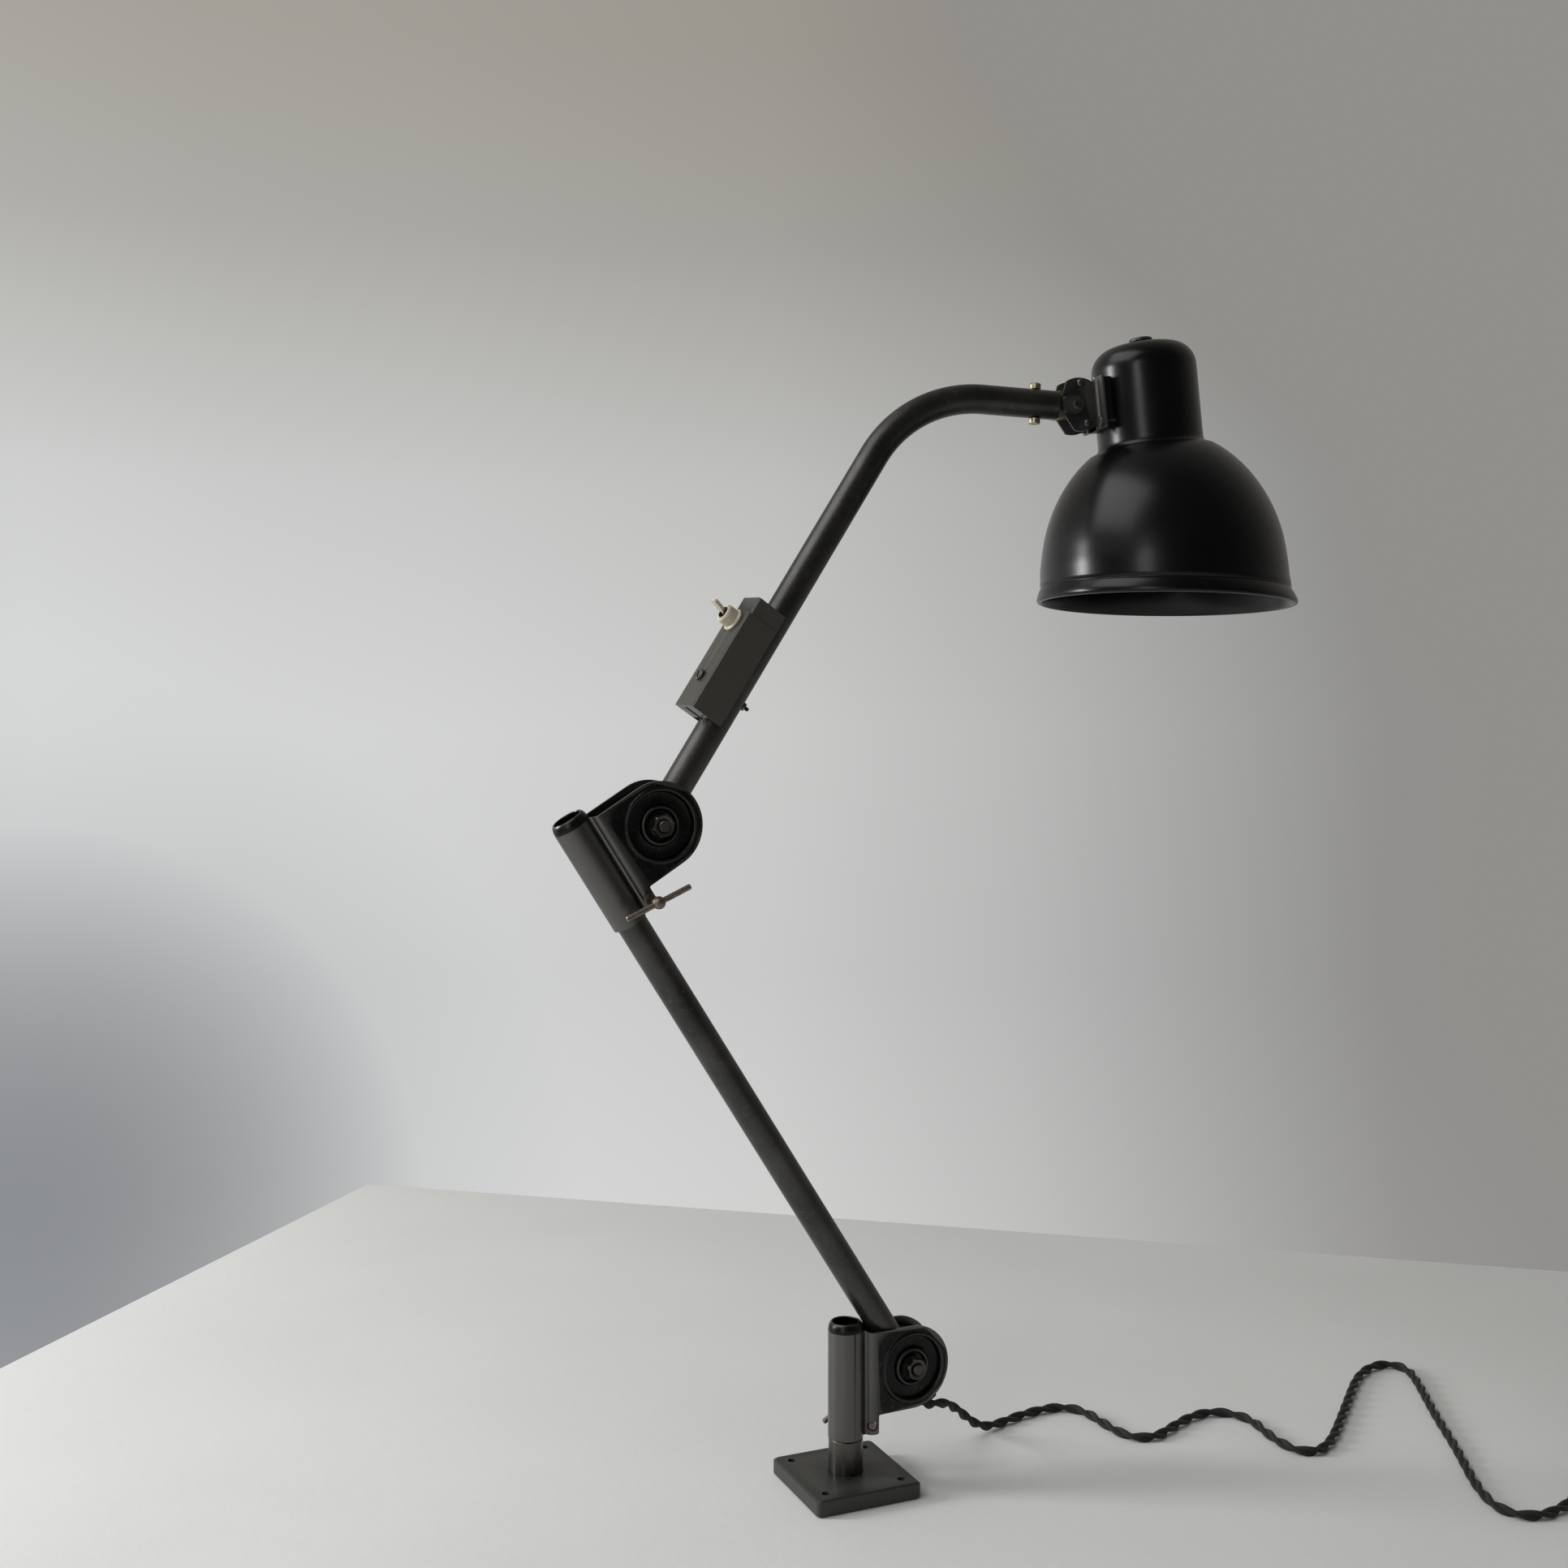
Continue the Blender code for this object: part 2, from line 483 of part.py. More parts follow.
# long screw that ties the box to the tube
long_screw = turned([(0, 29.4), (3.2, 29.4), (4.1, 28.7), (4.1, 27.1), (1.35, 27.1), (1.35, -16.0), (0.9, -16.5), (0, -16.5)], 16)
ls = finish_mesh("switch_box_screw", long_screw, MAT["fastener"], sw, shift(0, 0, 101.5) @ ALONG["-X"])
cut(ls, tool("cut_box_screw_slot", block(-5, 5, -0.55, 0.55, 28.4, 31), sw, shift(0, 0, 101.5) @ ALONG["-X"] @ turn(35, "Z")))
finish_mesh("switch_box_nut", turned([(1.7, 10.8), (3.0, 10.8), (3.0, 12.6), (1.7, 12.6)], 12, True), MAT["fastener"], sw,
            shift(0, 0, 101.5) @ ALONG["X"])

# ---- stem and its two screws -------------------------------------------------------------------
stem = finish_mesh("knuckle_stem", turned([(0, -26), (TUBE_BORE - 1.1, -26), (TUBE_BORE - GAP, -25), (TUBE_BORE - GAP, GAP),
                                           (0, GAP)], 24), MAT["tongue"], tube_end)
tongue = ([(5.8, -3.0), (5.8, 0.35), (9.9, 0.5)] + arc(0, KNUCKLE_X, 8.4, 5, 175, 12) + [(-9.9, 0.5), (-5.8, 0.35), (-5.8, -3.0)])
add(stem, tool("add_tongue", prism(tongue, -6.2, 6.2), tube_end, Matrix(((1, 0, 0, 0), (0, 0, 1, 0), (0, 1, 0, 0), (0, 0, 0, 1)))))
cut(stem, tool("cut_stem_pin", rod(3.1, -20, 20, 16), tube_end, shift(0, 0, KNUCKLE_X) @ ALONG["Y"]))
for name, d in (("stem_screw_top", "-X"), ("stem_screw_bottom", "X")):
    at = shift(0, 0, -16.2) @ ALONG[d]
    s = finish_mesh(name, turned([(0, 3.5), (1.9, 3.5), (1.9, TUBE_R + 0.35), (4.1, TUBE_R + 0.35), (4.1, TUBE_R + 3.6), (3.5, TUBE_R + 4.2),
                                  (0, TUBE_R + 4.2)], 18), MAT["brass"], tube_end, at)
    cut(s, tool("cut_" + name, block(-6, 6, -0.6, 0.6, TUBE_R + 3.0, TUBE_R + 6), tube_end, at @ turn(20, "Z")))
    hole_t = tool("cut_hole_" + name, rod(2.25, 3.1, TUBE_R + 3, 14), tube_end, at)
    cut(stem, hole_t)
    cut(tube_ob, hole_t)

# =====================================================================================
# Head: shade frame, Z up the shade's own axis, X away from the tube, origin at the rim's centre
# =====================================================================================
bpy.context.view_layer.update()
pin_world = (tube_end.matrix_world @ shift(0, 0, KNUCKLE_X)).translation
head_rot = turn(HEAD_YAW, "Z") @ turn(SHADE_LEAN, "Y")
knuckle_m = Matrix.Translation(pin_world) @ head_rot
knuckle = frame("shade_joint_frame", up_arm, up_arm.matrix_world.inverted() @ knuckle_m)
shade_f = frame("shade_frame", knuckle, shift(-PIN_S, 0, -PIN_T))
skew = math.tan(math.radians(RIM_SKEW))


def dome_r(t):
    if t >= DOME_C:
        return DOME_A * math.sqrt(max(0.0, 1 - ((t - DOME_C) / DOME_B) ** 2))
    return DOME_A + (DOME_C - t) * 0.05


def skewed(p):
    """Slide the lowest rings so that the rim lies in its oblique plane."""
    w = max(0.0, min(1.0, (46.0 - p.z) / 36.0))
    w = w * w * (3 - 2 * w)
    if w <= 0:
        return p
    z = p.z - w * p.x * skew
    return Vector((p.x, p.y, z))


outer_p = [(92.9, 0.2), (93.9, 1.6), (93.4, 4.4), (91.9, 8.4), (90.6, 10.4), (89.9, 11.2), (90.4, 12.4), (90.3, 16.0)]
outer_p += [(dome_r(t), t) for t in (26, 38, 50, 62, 73, 83, 92, 100, 107, 112)]
outer_p += [(39.2, 116.8), (NECK_R, 119.2), (NECK_R, NECK_SHOULDER)]
outer_p += [(20 + (NECK_R - 20) * math.cos(math.radians(a)), NECK_SHOULDER + 18.4 * math.sin(math.radians(a))) for a in (20, 38, 55, 72)]
outer_p += [(20.0, 191.6), (11.0, 193.6), (5.3, CROWN)]
inner_p = [(5.3, CROWN - SHADE_WALL - 0.4), (18.0, 188.3), (26.5, 184.2), (32.6, 177.0), (34.7, 169.0), (34.7, 117.0), (37.0, 112.0)]
inner_p += [(dome_r(t + 3.0) - 2.9, t) for t in (104, 92, 78, 62, 44, 26, 14)]
inner_p += [(88.0, 6.0), (89.9, 2.2), (90.9, 0.4)]
shade = finish_mesh("shade", turned(outer_p + inner_p, 36, True, skewed), MAT["shade"], shade_f, smooth=30)

finish_mesh("shade_cap", turned([(0, 197.4), (7.6, 197.4), (8.5, 196.6), (8.5, 194.9), (4.8, 194.9), (4.8, 178.3), (0, 178.3)], 24),
            MAT["knuckle"], shade_f)
# lampholder: cup hung from the cap's thread, open at the bottom for the bulb's cap
finish_mesh("lampholder", turned([(5.1, 189.2), (11, 189.2), (16.5, 184), (19.5, 174), (19.5, 140), (21.5, 138.6), (21.5, 134.0),
                                  (15.0, 134.0), (15.0, 172.0), (9.0, 177.8), (5.1, 177.8)], 24, True), MAT["black"], shade_f)
finish_mesh("bulb_cap", turned([(0, 171.0), (4.5, 171.0), (6.5, 168.6), (13.2, 165.5), (13.2, 143.0), (12.0, 141.4), (0, 141.4)], 24),
            MAT["cap"], shade_f)
glass_out = [(11.6, 141.1), (12.9, 138), (16, 129), (22, 117), (27.2, 106), (29.7, 95), (29.9, 85), (28.0, 73),
             (22.5, 63), (14, 57), (6, 54.6), (0, 54.2)]
glass_in = [(0, 55.2), (5.8, 55.6), (13.5, 57.9), (21.7, 63.8), (27.0, 73.4), (28.9, 85), (28.7, 94.8), (26.3, 105.5), (21.1, 116.6), (15.1, 128.6), (12.0, 137.7),
            (10.7, 141.1)]
finish_mesh("bulb_glass", turned(glass_out + glass_in, 24, True), MAT["glass"], shade_f)

# ---- knuckle plates ---------------------------------------------------------------------------
# plate outline in (x, z) about the pin: round, cut off beside the tube's end, with its ear bent out
CH_IN, CH_OUT = 6.8, 8.5
lean = SHADE_LEAN
plate_out = arc(3.4, 0, 19.4, 40, 117, 10) + arc(0, 0, 11.5, 150, 210, 6) + arc(3.4, 0, 19.4, 252, 320, 9)
for side_name, sy in (("front", -1), ("rear", 1)):
    mirror = Matrix.Diagonal((1, -sy, 1, 1))       # drawn for the front (-Y) side
    flat = placed(prism(plate_out, -CH_OUT, -CH_IN), Matrix(((1, 0, 0, 0), (0, 0, 1, 0), (0, 1, 0, 0), (0, 0, 0, 1))))
    flat.transform(mirror)
    p_ob = finish_mesh("knuckle_plate_" + side_name, flat, MAT["knuckle"], knuckle)
    # bent-out ear: section in (x, y), runs up z
    ear = [(15.4, -CH_IN), (15.4, -CH_OUT), (16.0, -10.2), (17.4, -11.2), (17.4, -18.6), (19.0, -18.6), (19.0, -10.2), (17.8, -8.3),
           (17.2, -CH_IN)]
    ear_bm = prism(ear, -18.8, 18.6)
    ear_bm.transform(mirror)
    # raised boss over the tongue
    boss_out = arc(-1.5, 0, 8.4, -85, 85, 12) + [(-8.9, 6.6)] + arc(0, 0, 11.3, 153, 207, 4) + [(-8.9, -6.6)]
    boss = bmesh.new()
    lo = [boss.verts.new((x, -8.2, z)) for x, z in boss_out]
    hi = [boss.verts.new((x * 0.86 if x > -8 else x + 0.3, -10.6, z * 0.82)) for x, z in boss_out]
    boss.faces.new(lo)
    boss.faces.new(hi)
    for i in range(len(lo)):
        j = (i + 1) % len(lo)
        boss.faces.new((lo[i], lo[j], hi[j], hi[i]))
    boss.transform(mirror)
    add(p_ob, tool("add_ear_" + side_name, ear_bm, knuckle))
    add(p_ob, tool("add_boss_" + side_name, boss, knuckle))
    cut(p_ob, tool("cut_pin_" + side_name, rod(3.1, -30, 30, 16), knuckle, ALONG["Y"]))
    for k, (rx, rz) in enumerate(((5.2, 15.4), (8.0, -14.0))):
        cut(p_ob, tool("cut_rivet_%s_%d" % (side_name, k), rod(2.3, -30, 30, 12), knuckle, shift(rx, 0, rz) @ ALONG["Y"]))
    cut(p_ob, tool("cut_ear_%s" % side_name, rod(2.1, 5, 40, 12), knuckle, shift(0, -sy * -14.6, -14.2) @ ALONG["X"]))
finish_mesh("knuckle_pin", turned([(0, -12.4), (2.2, -12.4), (3.9, -11.7), (3.9, -10.95), (2.8, -10.95), (2.8, 10.95), (3.9, 10.95), (3.9, 11.7),
                                   (2.2, 12.4), (0, 12.4)], 20), MAT["fastener"], knuckle, ALONG["Y"])
for name, (rx, rz) in (("knuckle_rivet_top", (5.2, 15.4)), ("knuckle_rivet_bottom", (8.0, -14.0))):
    finish_mesh(name, turned([(0, -11.0), (1.9, -10.7), (3.0, -9.6), (3.1, -8.8), (2.0, -8.8), (2.0, 8.8), (3.1, 8.8), (3.0, 9.6),
                              (1.9, 10.7), (0, 11.0)], 12), MAT["fastener"], knuckle, shift(rx, 0, rz) @ ALONG["Y"])
# saddle between the ears and the neck, hollowed to the neck's curve
saddle_b = finish_mesh("neck_saddle", block(19.3, 30.0, -14.8, 14.8, -18.2, 18.0), MAT["black"], knuckle)
add(saddle_b, tool("add_saddle_web", block(10.6, 22.0, -6.5, 6.5, -11.0, 12.0), knuckle))
cut(saddle_b, tool("cut_saddle_neck", rod(NECK_R + GAP, -60, 60, 64), knuckle, shift(-PIN_S, 0, 0)))
for side_name, sy in (("front", -1), ("rear", 1)):
    at = shift(0, sy * 14.6, -14.2) @ ALONG["X"]
    sc = finish_mesh("saddle_screw_" + side_name, turned([(0, 13.9), (3.0, 13.9), (3.5, 14.4), (3.5, 17.1), (1.8, 17.1), (1.8, 27.8), (0, 27.8)], 14),
                     MAT["fastener"], knuckle, at)
    cut(sc, tool("cut_saddle_screw_slot_" + side_name, block(-5, 5, -0.5, 0.5, 12, 14.9), knuckle, at @ turn(30, "Z")))
    bore_t = tool("cut_saddle_bore_" + side_name, rod(2.1, 17, 28.2, 12), knuckle, at)
    cut(saddle_b, bore_t)
    cut(shade, bore_t)

# =====================================================================================
# Cord: bush between the lower cheeks, free cord on the table, coil and plug
# =====================================================================================
bush_f = frame("bush_frame", low_br, shift(PIVOT_X + 14.25, 0, -24.7) @ turn(150.0, "Y"))   # Z runs out of the bush
bush = finish_mesh("cord_bush", prism(rounded(-6.6, 6.6, -10.5, 10.5, 2.0), -3.5, 3.6), MAT["rubber"], bush_f)
cut(bush, tool("cut_bush_bore", rod(CORD_R + GAP, -20, 20, 20), bush_f))
bpy.context.view_layer.update()
exit_p = (bush_f.matrix_world @ shift(0, 0, -4.0)).translation / MM
mouth = (bush_f.matrix_world @ shift(0, 0, 4.0)).translation / MM
ahead = (bush_f.matrix_world @ shift(0, 0, 12.0)).translation / MM
Z0 = CORD_R + 0.05
floor_route = [(152, 44), (180, 52), (211, 54), (227, 38), (228, 6), (233, -17), (250, -24), (272, -15), (300, -4), (324, -5), (337, -26),
               (331, -58), (331, -84), (344, -94), (366, -84), (396, -60), (436, -26), (476, 7), (506, 22), (524, 19), (527, 3), (512, -24),
               (477, -77), (443, -132), (411, -180), (396, -211), (398, -229), (414, -237.5), (441, -233), (467, -221.5), (490.1, -210.6)]
touch = [(82, 9, 43.4), (95, 18, 36.4), (108, 26.5, 26.6), (121, 33, 15.4), (135, 38.5, 6.6)]
knots = [Vector(exit_p), Vector(mouth), Vector(ahead)] + [Vector(p) for p in touch] + [Vector((x, y, Z0)) for x, y in floor_route]


def smooth_route(knots, spacing, ease):
    dense = []
    pts = [knots[0] * 2 - knots[1]] + knots + [knots[-1] * 2 - knots[-2]]
    for i in range(1, len(pts) - 2):
        p0, p1, p2, p3 = pts[i - 1:i + 3]
        for k in range(24):
            t = k / 24
            dense.append(0.5 * ((2 * p1) + (p2 - p0) * t + (2 * p0 - 5 * p1 + 4 * p2 - p3) * t * t + (3 * p1 - p0 - 3 * p2 + p3) * t ** 3))
    dense.append(knots[-1])
    for _ in range(ease):                   # ease the tight spots
        q = list(dense)
        for i in range(30, len(dense) - 30):
            q[i] = dense[i] * 0.5 + (dense[i - 1] + dense[i + 1]) * 0.25
        dense = q
    total = sum((b - a).length for a, b in zip(dense, dense[1:]))
    n = int(total / spacing)
    out, run, want = [dense[0]], 0.0, total / n
    for a, b in zip(dense, dense[1:]):
        s = (b - a).length
        while run + s >= want * len(out) and len(out) < n:
            out.append(a.lerp(b, (want * len(out) - run) / s))
        run += s
    out.append(dense[-1])
    return out, total


def cord_tube(name, knots, spacing=14.2, ease=60):
    pts, total = smooth_route(knots, spacing, ease)
    cu = bpy.data.curves.new(name, "CURVE")
    cu.dimensions = "3D"
    sp = cu.splines.new("POLY")
    sp.points.add(len(pts) - 1)
    for q, p in zip(sp.points, pts):
        q.co = (p.x * MM, p.y * MM, max(p.z, Z0) * MM, 1)
    cu.bevel_depth = CORD_R * MM
    cu.bevel_resolution = 2
    cu.render_resolution_u = 0
    cu.use_fill_caps = True
    cu.materials.append(MAT["cord"])
    ob = bpy.data.objects.new(name, cu)
    ROOT.objects.link(ob)
    return ob, pts, total


cord_ob, cord_pts, cord_len = cord_tube("cord", knots)

coil_f = frame("coil_frame", None, shift(COIL_C[0], COIL_C[1], 0))
coil_p = [(COIL_IN, 2.0), (COIL_IN + 2.4, 0.05), (COIL_OUT - 2.4, 0.05), (COIL_OUT, 2.4), (COIL_OUT, COIL_H - 2.4), (COIL_OUT - 2.4, COIL_H),
          (COIL_IN + 2.4, COIL_H), (COIL_IN, COIL_H - 2.4)]
finish_mesh("cord_coil", turned(coil_p, 32, True), MAT["cord"], coil_f)

plug_f = frame("plug_frame", None, shift(556.3, -215.8, 17.3) @ turn(-14.0, "Z") @ ALONG["X"])   # Z points to the pins
finish_mesh("plug_body", turned([(0, 0), (4.6, 0), (6.2, 4), (6.6, 10), (10.5, 15), (16.2, 20), (17.2, 23), (17.2, 37.0), (16.4, 38.4), (0, 38.4)], 28),
            MAT["black"], plug_f)
for name, sx in (("plug_pin_a", -9.5), ("plug_pin_b", 9.5)):
    finish_mesh(name, turned([(0, 38.7), (2.0, 38.7), (2.4, 39.3), (2.4, 55.6), (1.2, 57.6), (0, 57.8)], 14), MAT["pin"], plug_f, shift(0, sx, 0))
# from the coil's upper layer to the plug's tail
cord_tube("cord_tail", [Vector(p) for p in ((522.8, -207.5, 10.8), (532.5, -209.9, 12.0), (542.5, -212.4, 15.6), (551.0, -214.5, 17.2), (555.7, -215.65, 17.3))], 8.0, 4)
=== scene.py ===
"""Visual scene for the jointed workshop desk lamp."""
import math
import bpy
import bmesh
from mathutils import Matrix, Vector


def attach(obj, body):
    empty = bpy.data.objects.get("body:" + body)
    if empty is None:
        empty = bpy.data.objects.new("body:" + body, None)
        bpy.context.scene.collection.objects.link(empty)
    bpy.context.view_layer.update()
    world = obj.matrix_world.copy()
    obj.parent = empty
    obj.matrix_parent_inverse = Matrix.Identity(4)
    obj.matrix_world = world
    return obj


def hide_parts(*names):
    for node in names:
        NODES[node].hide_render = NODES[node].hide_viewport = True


MM = 0.001
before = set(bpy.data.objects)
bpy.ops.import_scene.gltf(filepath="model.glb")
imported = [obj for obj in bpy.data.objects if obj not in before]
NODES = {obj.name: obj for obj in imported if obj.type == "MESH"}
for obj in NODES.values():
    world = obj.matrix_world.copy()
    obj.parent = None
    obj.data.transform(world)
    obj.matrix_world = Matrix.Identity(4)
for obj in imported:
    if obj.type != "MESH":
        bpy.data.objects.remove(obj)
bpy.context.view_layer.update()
scene = bpy.context.scene
ROOT = scene.collection


# ---------------------------------------------------------------- camera
cam_data = bpy.data.cameras.new("camera")
cam_data.sensor_width = 36.0
cam_data.lens = 37.97
cam_data.clip_start, cam_data.clip_end = 0.02, 60
cam = bpy.data.objects.new("camera", cam_data)
ROOT.objects.link(cam)
cam.location = (-0.50745, -1.05909, 0.52121)
cam.rotation_euler = Vector((0.3979, 0.9173, -0.0167)).to_track_quat("-Z", "Y").to_euler()
scene.camera = cam


# ---------------------------------------------------------------- node helpers
def new_material(name):
    m = bpy.data.materials.new(name)
    m.use_nodes = True
    nt = m.node_tree
    b = nt.nodes["Principled BSDF"]
    return m, nt, b


def noise(nt, scale, detail=4.0, rough=0.55, vec=None, stretch=None):
    tc = nt.nodes.new("ShaderNodeTexCoord")
    src = tc.outputs["Object"]
    if stretch:
        mp = nt.nodes.new("ShaderNodeMapping")
        mp.inputs["Scale"].default_value = stretch
        nt.links.new(src, mp.inputs["Vector"])
        src = mp.outputs["Vector"]
    n = nt.nodes.new("ShaderNodeTexNoise")
    n.inputs["Scale"].default_value = scale
    n.inputs["Detail"].default_value = detail
    n.inputs["Roughness"].default_value = rough
    nt.links.new(src, n.inputs["Vector"])
    return n.outputs["Fac"]


def ramp(nt, fac, stops):
    r = nt.nodes.new("ShaderNodeValToRGB")
    els = r.color_ramp.elements
    while len(els) < len(stops):
        els.new(0.5)
    for e, (p, c) in zip(els, stops):
        e.position = p
        e.color = (*c, 1.0) if len(c) == 3 else c
    nt.links.new(fac, r.inputs["Fac"])
    return r.outputs["Color"]


def grey_ramp(nt, fac, p0, v0, p1, v1):
    return ramp(nt, fac, [(p0, (v0,) * 3), (p1, (v1,) * 3)])


def mix(nt, fac, a, b):
    m = nt.nodes.new("ShaderNodeMix")
    m.data_type = "RGBA"
    if isinstance(fac, float):
        m.inputs[0].default_value = fac
    else:
        nt.links.new(fac, m.inputs[0])
    for sock, v in ((m.inputs[6], a), (m.inputs[7], b)):
        if isinstance(v, tuple):
            sock.default_value = (*v, 1.0)
        else:
            nt.links.new(v, sock)
    return m.outputs[2]


def bump(nt, height, strength, distance, b, after=None):
    n = nt.nodes.new("ShaderNodeBump")
    n.inputs["Strength"].default_value = strength
    n.inputs["Distance"].default_value = distance
    nt.links.new(height, n.inputs["Height"])
    if after is not None:
        nt.links.new(after, n.inputs["Normal"])
    nt.links.new(n.outputs["Normal"], b.inputs["Normal"])
    return n.outputs["Normal"]


# Convex edges made lighter by pointiness: partly edge wear, partly a painted highlight along the edges.
def worn_and_highlit_edges(nt, lo=0.52, hi=0.60):
    g = nt.nodes.new("ShaderNodeNewGeometry")
    return grey_ramp(nt, g.outputs["Pointiness"], lo, 0.0, hi, 1.0)


def metal(name, dark, light, rough=(0.30, 0.46), scratch_wear_and_highlight_tone=(0.30, 0.28, 0.25), rust=None, scale=60.0, metallic=0.95,
          edge_wear_and_highlight_amount=0.55, scratch=0.25, rust_cover=(0.60, 0.72), stretch=None, bump_d=0.00006):
    """Burnished steel: cloudy tone, fine scratches, brighter edges (partly edge wear, partly painted highlight) and a
    little rust.
    """
    m, nt, b = new_material(name)
    cloud = noise(nt, scale, 5, 0.6, stretch=stretch)
    col = ramp(nt, cloud, [(0.30, dark), (0.72, light)])
    fine = noise(nt, scale * 9, 3, 0.7, stretch=stretch)
    col = mix(nt, grey_ramp(nt, fine, 0.55, 0.0, 0.78, scratch), col, scratch_wear_and_highlight_tone)
    # Lighter convex edges: edge wear plus a painted highlight.
    if edge_wear_and_highlight_amount:
        g = nt.nodes.new("ShaderNodeMath")
        g.operation = "MULTIPLY"
        g.inputs[1].default_value = edge_wear_and_highlight_amount
        nt.links.new(worn_and_highlit_edges(nt), g.inputs[0])
        col = mix(nt, g.outputs[0], col, scratch_wear_and_highlight_tone)
    rcol = grey_ramp(nt, fine, 0.25, rough[0], 0.8, rough[1])
    if rust:
        spots = noise(nt, scale * 1.9, 6, 0.62)
        mask = grey_ramp(nt, spots, rust_cover[0], 0.0, rust_cover[1], 0.85)
        col = mix(nt, mask, col, rust)
        rcol = mix(nt, mask, rcol, (0.75, 0.75, 0.75))
    nt.links.new(col, b.inputs["Base Color"])
    nt.links.new(rcol, b.inputs["Roughness"])
    b.inputs["Metallic"].default_value = metallic
    bump(nt, fine, 0.35, bump_d, b)
    return m


def moulding(name, dark, light, rough=(0.12, 0.22), scale=30.0, coat=0.3, bump_d=0.00012, dust=None, wave=0.25):
    """Moulded phenolic or plastic: faint ripple, hairline scratches, uneven polish."""
    m, nt, b = new_material(name)
    cloud = noise(nt, scale, 4, 0.55)
    col = ramp(nt, cloud, [(0.30, dark), (0.75, light)])
    fine = noise(nt, scale * 22, 3, 0.6)
    if dust:
        col = mix(nt, grey_ramp(nt, fine, 0.62, 0.0, 0.75, 0.30), col, dust)
    nt.links.new(col, b.inputs["Base Color"])
    nt.links.new(grey_ramp(nt, cloud, 0.3, rough[0], 0.75, rough[1]), b.inputs["Roughness"])
    b.inputs["Metallic"].default_value = 0.0
    b.inputs["Coat Weight"].default_value = coat
    b.inputs["Specular IOR Level"].default_value = 0.32
    b.inputs["Coat Roughness"].default_value = 0.20
    first = bump(nt, noise(nt, scale * 0.8, 2, 0.5), wave, 0.0006, b)
    bump(nt, fine, 0.22, bump_d, b, first)
    return m


